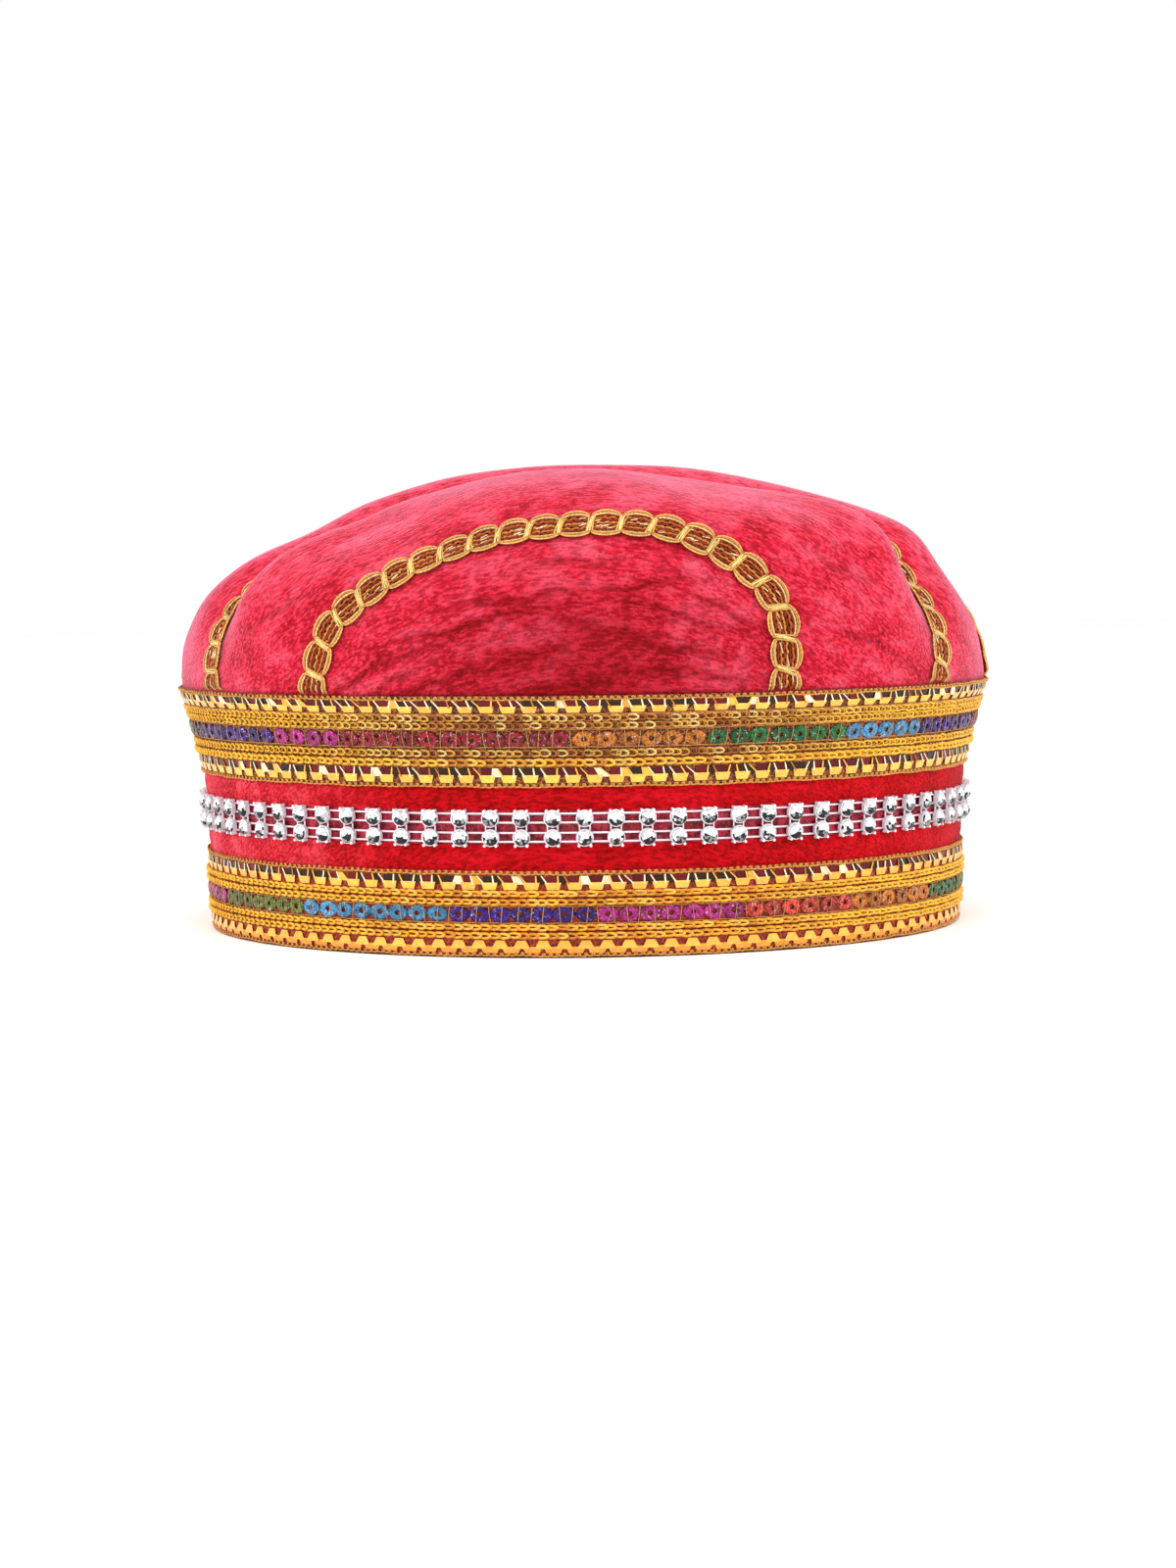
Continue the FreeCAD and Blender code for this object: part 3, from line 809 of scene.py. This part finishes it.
# ---- Laces ---------------------------------------------------------------------------------
TAPE = 0.4                  # how far the ground net stands off the velvet
PLEAT_PITCH = 4.55
SEQUIN_HALF_LENGTH, SEQUIN_HALF_HEIGHT, SEQUIN_HOLE = 2.42, 1.78, 0.56
CROSS_THREADS = 176         # fine threads over each row of sequins
CROSS_HALF = 2.2            # half the height of one
# CREAM serves only the foil, as painted highlights and light painted reflections.
CREAM, LEMON, AMBER = srgb(255, 236, 190), srgb(252, 188, 80), srgb(248, 172, 62)
ORANGE_GOLD, YELLOW_GOLD, COPPER = srgb(240, 160, 66), srgb(255, 194, 60), srgb(190, 116, 50)
# Dark tints for painted shade and dark painted reflections in the foil's folds.
PAINTED_DARK_OLIVE, PAINTED_DARK_MAROON = srgb(44, 22, 4), srgb(84, 2, 8)
SEQUIN_COLOURS = {
    "amber": srgb(218, 124, 22), "green": srgb(10, 112, 48), "sky": srgb(70, 156, 206),
    "violet": srgb(56, 14, 130), "magenta": srgb(188, 30, 136), "coral": srgb(220, 66, 50),
    "teal": srgb(30, 122, 128), "red": srgb(158, 8, 34), "olive": srgb(104, 122, 40)}
ROUND_OF_SEVENS = [(colour, 7) for colour in ("amber", "green", "sky", "violet", "magenta", "coral")]
UPPER_RUNS = [("amber", 6), ("green", 7), ("sky", 5), *ROUND_OF_SEVENS[3:], *ROUND_OF_SEVENS,
              ("teal", 8), ("violet", 8), ("magenta", 4), ("red", 11)]
LOWER_RUNS = [("violet", 1), ("magenta", 7), ("coral", 6), ("amber", 6), *ROUND_OF_SEVENS[1:],
              *ROUND_OF_SEVENS[:4], ("magenta", 8), ("olive", 7), ("sky", 8), ("violet", 6)]


def shades(colour, count, spread):
    """A tint for each of several things, each a little lighter or darker."""
    return np.array(colour) * DICE.uniform(1 - spread, 1 + spread, (count, 1))


def looped_edge(gather, z, tint):
    """Edge thread that makes a small loop at every stitch."""
    loops = round(girth(z) / 1.5)
    turn = np.arange(loops * 10) * TURN / 10
    share = (turn / TURN - 0.42 * np.sin(turn)) / loops
    drift = 0.08 * np.sin(turn / 7) + 0.06 * np.sin(turn / 23)
    band_thread(gather, share, z + 0.3 * np.cos(turn) + drift, TAPE + 0.24 + 0.1 * np.cos(turn + 1), 0.2,
                sides=5, closed=True, tint=tint)


def painted_side_light(share):
    """0 at the front of the cap and 1 from the sides back, where the yarn is painted brighter as painted
    side light.
    """
    share = share % 1.0
    return smooth(np.minimum(share, 1 - share), 0.05, 0.14)[..., None]


def chain_stitch(gather, z, half, radius, out, tints, pitch):
    """A row of interlocking oval loops. tints holds the colours that its loops are picked from.

    From the sides back the loops are painted a brighter yellow gold as painted side light; at the front they
    keep the colours picked for them."""
    count = round(girth(z) / pitch)
    turn = circle(12)
    jog = DICE.uniform(-0.09, 0.09, (count, 1))
    share = (np.arange(count)[:, None] + 0.5 + jog + 0.64 * np.cos(turn)) / count
    heights = z + (half - radius) * np.sin(turn) * DICE.uniform(0.85, 1.12, (count, 1)) + jog
    above = out + radius * (1.3 + 0.9 * np.cos(turn))
    tint = np.array(tints)[DICE.integers(len(tints), size=count)] * DICE.uniform(0.85, 1.1, (count, 1))
    # Painted side light: loops from the sides back are painted brighter yellow gold.
    side_light_mask = 0.85 * painted_side_light(np.arange(count) / count)
    tint = tint * (1 - side_light_mask) + np.array(YELLOW_GOLD) * DICE.uniform(0.85, 1.05, (count, 1)) * side_light_mask
    band_thread(gather, share, heights, above, radius, sides=5, closed=True, tint=tint)


def zigzag(gather, z, reach, pitch, out, radius, tint):
    """A thread that runs to and fro across a row, under its loops."""
    turns = round(girth(z) / pitch)
    turn = np.arange(turns * 8) * TURN / 8
    share = (turn / TURN + 0.12 * np.sin(turn * 2)) / turns
    # Painted side light: from the sides back the thread is painted brighter yellow gold and made thicker.
    side_light_mask = painted_side_light(share)
    tint = np.array(tint) * (1 - side_light_mask) + np.array(YELLOW_GOLD) * 0.92 * side_light_mask
    up = reach * np.sin(turn) * (1 + 0.15 * np.sin(turn / 9))
    band_thread(gather, share, z + up, out + 0.1 * np.cos(turn), radius * (1 + 0.7 * side_light_mask[..., 0]),
                sides=4, closed=True, tint=tint[None])


def straight_thread(gather, z, out, radius, tint):
    """One fine thread all the way round."""
    share = np.arange(720) / 720
    band_thread(gather, share, z + 0.05 * np.sin(share * 700), out, radius, sides=4, closed=True, tint=tint)


def facet(gather, share, corners_uv, low, high, count, out, tint, lean=0.0):
    """One four-cornered foil facet per pleat; its corners are in pleats along and shares of height up."""
    along, up = np.array(corners_uv).T
    shape = (count, 1)
    lean = np.broadcast_to(lean, (count,))[:, None] * np.maximum(up - 0.45, 0)
    along = (share[:, None] + along + lean + DICE.uniform(-0.025, 0.025, shape)) / count
    z = low + (high - low) * (up + 0 * along)
    lift = np.array(out) + DICE.uniform(-0.05, 0.05, shape) + 0 * along
    outer, _ = band_place(along, z, TAPE + lift)
    inner, _ = band_place(along, z, TAPE + lift - 0.12)
    plates(gather, outer, inner, tint)


def foil(gather, low, high, bright):
    """Pleated foil: hanging folds along the bottom, and narrow folds between their tops. The narrow folds
    carry painted reflections in their tints, mostly dark olive or maroon in their middles, with painted
    highlights on their edges; dark plates between the hanging folds are painted shade.
    """
    count = round(girth(low) / PLEAT_PITCH)
    pleat = np.arange(count)
    hanging = shades(ORANGE_GOLD if bright else LEMON, count, 0.13)
    foot, head = (0.33, 0.46) if bright else (0.28, 0.39)
    facet(gather, pleat + 0.5, ((-foot, 0.02), (foot, 0.02), (head, 0.52), (-head, 0.52)), low, high, count,
          (0.24, 0.24, 0.5, 0.5), hanging)
    if bright:
        facet(gather, pleat, ((-0.4, 0.36), (0.4, 0.36), (0.2, 0.97), (-0.2, 0.97)), low, high, count,
              (0.62, 0.62, 0.25, 0.25), shades(LEMON, count, 0.1))
        return
    lean = DICE.normal(-0.28, 0.2, count)
    # Middles of the narrow folds: mostly dark painted reflections, some cream painted highlights, some amber
    # foil.
    pick = DICE.choice(4, size=count, p=(0.5, 0.25, 0.15, 0.1))
    middle = np.array([PAINTED_DARK_OLIVE, PAINTED_DARK_MAROON, CREAM, AMBER])[pick] * DICE.uniform(0.7, 1.2, (count, 1))
    facet(gather, pleat, ((-0.22, 0.4), (0.22, 0.4), (0.13, 0.95), (-0.13, 0.95)), low, high, count,
          (0.42, 0.42, 0.2, 0.2), middle, lean)
    for side in (-1, 1):
        edge = ((side * 0.26 - 0.04, 0.4), (side * 0.26 + 0.04, 0.4), (side * 0.14 + 0.03, 0.97),
                (side * 0.14 - 0.03, 0.97))
        # Painted highlights on the fold edges.
        lit = DICE.choice(3, size=count, p=(0.6, 0.3, 0.1))
        facet(gather, pleat, edge, low, high, count, (0.55, 0.55, 0.3, 0.3),
              np.array([CREAM, LEMON, COPPER])[lit], lean + DICE.uniform(-0.08, 0.08, count))
    # Dark plates between the hanging folds: painted shade.
    facet(gather, pleat + 0.5, ((-0.3, 0.5), (0.3, 0.5), (0.33, 0.93), (-0.33, 0.93)), low, high, count,
          (0.2, 0.2, 0.12, 0.12), np.array([PAINTED_DARK_MAROON, srgb(104, 6, 12), PAINTED_DARK_OLIVE])[DICE.integers(3, size=count)])


def sequins(gather, z, runs):
    """Eye-shaped dished rings, in runs of colour."""
    names = [name for name, number in runs for _ in range(number)]
    count, sides = len(names), 20
    cos, sin = np.cos(circle(sides)), np.sin(circle(sides))
    rim = np.stack([SEQUIN_HALF_LENGTH * cos * (0.8 + 0.2 * cos ** 2), SEQUIN_HALF_HEIGHT * sin], axis=-1)
    hole = SEQUIN_HOLE * np.stack([cos, sin], axis=-1)
    rings = ((rim, 0.0), (rim, 0.12), (rim * 0.85 + hole * 0.1, 0.32), (hole * 2, 0.42), (hole * 1.15, 0.36),
             (hole, 0.2), (hole, 0.0))
    flat = np.stack([ring for ring, _ in rings])[None]
    tall = np.array([height for _, height in rings])[None, :, None]
    tilt = DICE.uniform(-0.09, 0.09, (count, 2, 1, 1))
    lift = tall + tilt[:, 0] * flat[..., 0] + tilt[:, 1] * flat[..., 1]
    size = DICE.uniform(0.94, 1.03, (count, 1, 1))
    along = (np.arange(count)[:, None, None] + DICE.uniform(-0.05, 0.05, (count, 1, 1))) / count
    points, _ = band_place(along + flat[..., 0] * size / girth(z),
                           z + flat[..., 1] * size, TAPE + 0.2 + lift)
    one = grid_faces(len(rings), sides, True, True)
    faces = (one[None] + (np.arange(count) * len(rings) * sides)[:, None, None]).reshape(-1, 4)
    colours = np.array([SEQUIN_COLOURS[name] for name in names]) * DICE.uniform(0.6, 1.15, (count, 1))
    gather.add(points, faces, np.repeat(colours, len(one), axis=0))


def cross_threads(gather, z, tint):
    """Fine threads that hold the sequins down."""
    shape = (CROSS_THREADS, 1)
    share = (np.arange(CROSS_THREADS)[:, None] + DICE.uniform(-0.15, 0.15, shape)
             + np.linspace(-0.08, 0.08, 7) * DICE.choice((-1, 1), shape)) / CROSS_THREADS
    up = np.linspace(-CROSS_HALF, CROSS_HALF, 7)
    arch = TAPE + 0.25 + 0.62 * np.cos(up / CROSS_HALF * math.pi / 2) ** 0.6
    band_thread(gather, share, z + up, arch, 0.075, sides=4, tint=tint)


THIN_TINTS = [srgb(186, 118, 52), srgb(214, 152, 66), srgb(226, 172, 80), srgb(162, 92, 42),
              srgb(238, 200, 122)]
GOLD_TINTS = [YELLOW_GOLD, srgb(236, 166, 50), srgb(206, 134, 44), srgb(244, 188, 84)]
PLUMP_TINTS = [srgb(246, 176, 54), srgb(250, 190, 74), srgb(236, 160, 46), srgb(222, 142, 42)]


def yarn_row(gather, kind, z, half):
    """One row of a lace: a thread to and fro, and loops over it."""
    if kind == "thin":
        zigzag(gather, z, half, 1.75, TAPE + 0.15, 0.1, COPPER)
        chain_stitch(gather, z, half + 0.12, 0.25, TAPE + 0.05, THIN_TINTS, 1.85)
    elif kind == "plump":
        zigzag(gather, z, half * 0.8, 1.9, TAPE + 0.1, 0.15, srgb(196, 100, 32))
        chain_stitch(gather, z, half + 0.04, 0.31, TAPE + 0.12, PLUMP_TINTS, 2.05)
    else:
        zigzag(gather, z, half * 0.8, 1.4, TAPE + 0.1, 0.18, COPPER)
        chain_stitch(gather, z, half + 0.1, 0.32, TAPE + 0.12, GOLD_TINTS, 2.1)


def repaint(node, material):
    """Gives a carried CAD node its material."""
    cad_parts[node].data.materials.clear()
    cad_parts[node].data.materials.append(material)


def lace(node, runs, rows, threads, bright_foil, ground):
    """One lace. rows are the kinds of its yarn rows, and threads are distances down from its top edge."""
    edging = Gather()
    for place in ("top", "bottom"):
        looped_edge(edging, middle_height(node + "edge_thread_" + place), srgb(214, 148, 66))
    edging.piece(node + "edging", "copper_gold_thread", COPPER_YARN,
                 [node + "edge_thread_top", node + "edge_thread_bottom"])
    for place in ("top", "bottom"):
        pleats = Gather()
        foil(pleats, *heights(node + "foil_" + place), bright_foil and place == "bottom")
        pleats.piece(node + "pleats_" + place, "gold_foil", FOIL, [node + "foil_" + place], flat=True)
    for number, kind in enumerate(rows, 1):
        cord = node + "cord_" + str(number)
        low, high = heights(cord)
        yarn = Gather()
        yarn_row(yarn, kind, (low + high) / 2, (high - low) / 2)
        material = COPPER_YARN if kind == "thin" else GOLD_YARN
        yarn.piece(node + "yarn_" + str(number), "gold_yarn", material, [cord])
    z = middle_height(node + "sequins")
    rings = Gather()
    sequins(rings, z, runs)
    rings.piece(node + "spangles", "sequin_film", SEQUIN, [node + "sequins"])
    fine = Gather()
    cross_threads(fine, z, srgb(206, 160, 104))
    for down in threads:
        straight_thread(fine, heights(node + "tape")[1] - down, TAPE + 0.35, 0.13, srgb(206, 146, 84))
    fine.piece(node + "couching", "copper_gold_thread", COPPER_YARN)
    repaint(node + "tape", ground)


lace("upper_lace_", UPPER_RUNS, ("thin", "thin", "thin", "gold"), (3.7, 7.0, 10.8), False,
     net("upper_lace_net", srgb(200, 118, 48), srgb(78, 8, 6)))
lace("lower_lace_", LOWER_RUNS, ("plump",) * 4, (7.5, 11.1), True,
     net("lower_lace_net", srgb(206, 84, 32), srgb(122, 8, 10)))


# ---- Stone chain ---------------------------------------------------------------------------
STONES_ROUND = 78

for node, material in (("chain_backing", FILM), ("chain_wires", WIRE), ("chain_posts", WIRE),
                       ("chain_upper_cups", SILVER), ("chain_lower_cups", SILVER), ("band_buckram", CANVAS)):
    repaint(node, material)


def stones(gather, node):
    """Round faceted stones whose facet tints are a painted reflection: light on facets facing up, dark on
    facets facing down.
    """
    low, high = corners(node)
    z = (low[2] + high[2]) / 2
    stand, wide = high[0] - half_width(z), (high[2] - low[2]) / 2
    count, sides = STONES_ROUND, 12
    turn = (np.arange(sides) + 0.5) * TURN / sides
    ring = np.stack([np.cos(turn), np.sin(turn)], axis=-1)
    layers = ((wide, stand - 1.0), (wide * 1.02, stand - 0.62), (wide * 0.86, stand - 0.3),
              (wide * 0.54, stand), (0.0, stand + 0.01))
    flat = np.stack([ring * radius for radius, _ in layers])[None]
    twist = DICE.uniform(-0.25, 0.25, (count, 1, 1))
    across = flat[..., 0] * np.cos(twist) - flat[..., 1] * np.sin(twist)
    up = flat[..., 0] * np.sin(twist) + flat[..., 1] * np.cos(twist)
    out = np.array([height for _, height in layers])[None, :, None] + 0 * across
    points, _ = band_place(np.arange(count)[:, None, None] / count + across / girth(z), z + up, out)
    points = points.reshape(count, -1, 3)
    base = np.arange(sides)[::-1][None]
    one = grid_faces(len(layers), sides, wrap_columns=True)
    one[-sides:, 2] = one[-sides:, 3]
    step = (np.arange(count) * len(layers) * sides)[:, None, None]
    facets = (count, len(layers) - 1, sides)
    # Painted reflection: light tints on facets that face up, near-black ones on facets that face down.
    upward = np.sin(turn + math.pi / sides) + DICE.normal(0, 0.35, facets)
    light = np.where(upward > -0.1, DICE.uniform(0.85, 1.0, facets),
                     DICE.choice((0.0, 0.005, 0.02, 0.35), facets))
    tone = light[..., None] * np.array([0.97, 0.98, 1.0])
    quads = (one[None, :-sides] + step).reshape(-1, 4)
    triangles = (one[None, -sides:, :3] + step).reshape(-1, 3)
    tints = np.concatenate([tone[:, :-1].reshape(-1, 3), tone[:, -1].reshape(-1, 3), np.ones((count, 3))])
    gather.add(points, [quads, triangles, (base[None] + step).reshape(-1, sides)], tints)


for row in ("upper", "lower"):
    cut = Gather()
    stones(cut, "chain_" + row + "_stones")
    cut.piece("cut_stones_" + row, "clear_stone", STONE, ["chain_" + row + "_stones"], flat=True)


# ---- Braid ---------------------------------------------------------------------------------
LINK_PITCH = 6.67
WAIST_HALF, LINK_BULGE = 1.9, 1.75      # a link's half width at its ends, and how much more it has between
WRAP_HALF = 2.5                         # half the length of the wraps at each waist
RIBBON_HALF, RIBBON_LOW, RIBBON_HIGH = 2.0, -0.25, 0.24
FIRST_HEIGHT = SEAM - 1.5               # the rows start under the upper lace


class Row:
    """A line over the crown, with places along it, across it and above it."""

    def __init__(self, points):
        self.points = points
        self.at = np.concatenate([[0], np.cumsum(np.linalg.norm(np.diff(points, axis=0), axis=1))])
        self.length = self.at[-1]

    def along(self, u):
        """Points at distances u from the row's start."""
        return np.stack([np.interp(u, self.at, self.points[:, k]) for k in range(3)], axis=-1)

    def place(self, u, v, out):
        """Points and normals u along the row, v to its left and out above the velvet."""
        u, v, out = np.broadcast_arrays(u, v, out)
        middle = self.along(u)
        ahead = self.along(np.minimum(u + 0.8, self.length)) - self.along(np.maximum(u - 0.8, 0))
        normal = crown_normal(middle)
        spot = middle + unit(np.cross(normal, ahead)) * v[..., None]
        tucked = 1.5 * (1 - smooth(spot[..., 2], SEAM - 0.3, SEAM + 2.2))
        return spot + normal * (crown_relief(spot) + out - tucked)[..., None], normal


def row_in_plane(row, count=600):
    """Where the plane of a row meets the plain dome, from one side of the cap to the other.

    Each point is found by halving, on a line fanned out from just below the seam."""
    turn = np.linspace(-1, 1, count) * math.radians(94)
    near, far = np.full(count, 5.0), np.full(count, 160.0)
    for _ in range(45):
        reach = (near + far) / 2
        x, z = reach * np.sin(turn), SEAM - 2 + reach * np.cos(turn)
        y = row["foot"] + row["lean"] * (z - SEAM) + row["skew"] * x
        spot = np.stack([x, y, z], axis=-1)
        inside = crown_field(spot) < 1
        near, far = np.where(inside, reach, near), np.where(inside, far, reach)
    return spot[z > FIRST_HEIGHT]


def arch_row(side):
    """The arch, laid onto the front of the dome (side 1), or turned half round onto its back (side -1)."""
    x, z = ARCH_LINE.T
    keep = z > FIRST_HEIGHT
    x, z = side * x[keep], z[keep]
    across, deep, lean = crown_axes(crown_level(np.stack([x, x, z], axis=-1)))
    return np.stack([x, -side * deep * np.sqrt(1 - ((x - lean) / across) ** 2), z], axis=-1)


def ribbon(gather, row, tint):
    """Flat strip under the braid's links."""
    half, low, high = RIBBON_HALF, RIBBON_LOW, RIBBON_HIGH
    u = np.linspace(0, row.length, max(2, round(row.length / 1.1)))[:, None]
    section = np.array([(-half, low), (-half, high), (-half / 2, high), (0, high), (half / 2, high),
                        (half, high), (half, low), (0, low)])
    points, _ = row.place(u, section[:, 0], section[:, 1])
    count, sides = points.shape[:2]
    ends = np.arange(sides)[None]
    gather.add(points, [grid_faces(count, sides, wrap_columns=True), ends[:, ::-1],
                        ends + (count - 1) * sides], tint)


def braid(name, line_points):
    """Braid of oval links: cords down each side, slanting wraps at each waist, glittering threads inside."""
    row = Row(line_points)
    links = round(row.length / LINK_PITCH)
    pitch = row.length / links
    outline, filling = Gather(), Gather()
    u = np.linspace(0, row.length, links * 16 + 1)
    share = u / pitch % 1.0
    swell = np.clip(np.sin(math.pi * share), 0, 1) ** 0.5
    ribbon(filling, row, srgb(96, 26, 12))
    for side in (-1, 1):
        for lane, tint in enumerate((srgb(238, 192, 104), srgb(200, 138, 64), srgb(242, 212, 142))):
            v = side * (WAIST_HALF + LINK_BULGE * swell - lane * (0.1 + 0.34 * swell))
            points, lifts = row.place(u, v, 0.42 + 0.3 * swell + 0.16 * (lane == 1))
            beads = 0.2 * (1 + 0.22 * np.cos(TURN * u / 0.83 + lane))
            tube(outline, points[None], lifts[None], beads, sides=5, tint=tint)
    knots = np.arange(1, links) * pitch + DICE.uniform(-0.15, 0.15, links - 1)
    for strand, tint in ((-1.5, srgb(222, 176, 92)), (-0.5, srgb(242, 216, 140)), (0.5, srgb(236, 204, 124)),
                         (1.5, srgb(214, 160, 80))):
        v = np.linspace(-WRAP_HALF, WRAP_HALF, 11)
        slant = DICE.uniform(0.1, 0.34, (len(knots), 1))
        spread = strand * (0.34 + 0.1 * np.abs(v) / WRAP_HALF)
        out = 0.3 + 0.75 * np.cos(v / WRAP_HALF * 1.35) - 0.05 * abs(strand)
        points, lifts = row.place(knots[:, None] + spread + slant * v, v, out)
        tube(outline, points, lifts, 0.21, sides=5, tint=shades(tint, len(knots), 0.1))
    outline.piece(name + "_links", "gold_braid", BRAID_YARN)
    fill_tints = [srgb(178, 82, 30), srgb(138, 46, 16), srgb(204, 118, 48), srgb(150, 56, 20),
                  srgb(214, 138, 66), srgb(130, 42, 16), srgb(190, 98, 36), srgb(144, 54, 20)]
    for strand, tint in enumerate(fill_tints):
        phase = strand * 2.1
        v = (strand - 3.5) * 0.68 * (0.56 + 0.5 * swell) + 0.1 * np.sin(TURN * u / 2.1 + phase)
        points, lifts = row.place(u, v, 0.42 + 0.14 * np.sin(TURN * u / 1.7 + phase * 1.7))
        beads = 0.3 * (1 + 0.32 * np.cos(TURN * u / 1.05 + phase))
        tube(filling, points[None], lifts[None], beads, sides=5, tint=tint)
    glints = DICE.uniform(0, row.length, links * 3)
    across = DICE.uniform(-1.7, 1.7, (links * 3, 1))
    length = np.linspace(-0.75, 0.75, 5)
    points, lifts = row.place(np.clip(glints[:, None] + length, 0, row.length), across + 0.25 * length, 0.72)
    tube(filling, points, lifts, 0.13, sides=4, tint=shades(srgb(255, 232, 186), links * 3, 0.15))
    filling.piece(name + "_filling", "gold_braid", BRAID_YARN, [name])


REAR_ROW = {"foot": -SIDE_ROW["foot"], "lean": -SIDE_ROW["lean"], "skew": SIDE_ROW["skew"]}
braid("braid_front", arch_row(1))
braid("braid_fore", row_in_plane(SIDE_ROW))
braid("braid_middle", row_in_plane(MIDDLE_ROW))
braid("braid_aft", row_in_plane(REAR_ROW))
braid("braid_back", arch_row(-1))


# ---- Floor, light and camera ---------------------------------------------------------------
def floor_paint():
    p = Paint("white_floor")
    tone = p.ramp(p.noise(400, 2), (0.3, 0.96), (0.7, 0.98))
    return p.finish(tone, Roughness=0.9)


floor_mesh = bpy.data.meshes.new("floor")
floor_corners = [(x * 3, y * 3, -0.0002) for x, y in ((-1, -1), (1, -1), (1, 1), (-1, 1))]
floor_mesh.from_pydata(floor_corners, [], [(0, 1, 2, 3)])
floor_mesh.materials.append(floor_paint())
floor = bpy.data.objects.new("floor", floor_mesh)
bpy.context.scene.collection.objects.link(floor)

world = bpy.data.worlds.new("studio")
bpy.context.scene.world = world
world.use_nodes = True
sky = world.node_tree.nodes["Background"].inputs
sky["Color"].default_value = (1.0, 1.0, 1.0, 1.0)
sky["Strength"].default_value = 1.0


def area_light(name, place, aim, size, power):
    """Round soft light, sizes in metres and power in watts."""
    data = bpy.data.lights.new(name, "AREA")
    data.shape = "DISK"
    data.size = size
    data.energy = power
    lamp = bpy.data.objects.new(name, data)
    lamp.location = place
    lamp.rotation_euler = (Vector(aim) - Vector(place)).to_track_quat("-Z", "Y").to_euler()
    bpy.context.scene.collection.objects.link(lamp)


CAP_MIDDLE = (0, 0, 0.05)
area_light("left", (-1.1, -0.55, 0.8), CAP_MIDDLE, 0.6, 9)
area_light("right", (1.1, -0.5, 0.8), CAP_MIDDLE, 0.6, 8)
area_light("top", (0, -0.5, 1.3), CAP_MIDDLE, 0.5, 4)

LOOKS_DOWN, ROLL = 4.1, -0.7        # degrees
camera_data = bpy.data.cameras.new("camera")
camera_data.lens = 75.33
camera_data.sensor_width = 36
camera = bpy.data.objects.new("camera", camera_data)
camera.location = (0.0008, -0.770, 0.0867)
looking = Euler((math.radians(90 - LOOKS_DOWN), 0, 0)).to_matrix()
rolled = Euler((0, 0, math.radians(ROLL))).to_matrix()
camera.rotation_euler = (looking @ rolled).to_euler()
bpy.context.scene.collection.objects.link(camera)
bpy.context.scene.camera = camera
bpy.context.scene.view_settings.view_transform = "Standard"
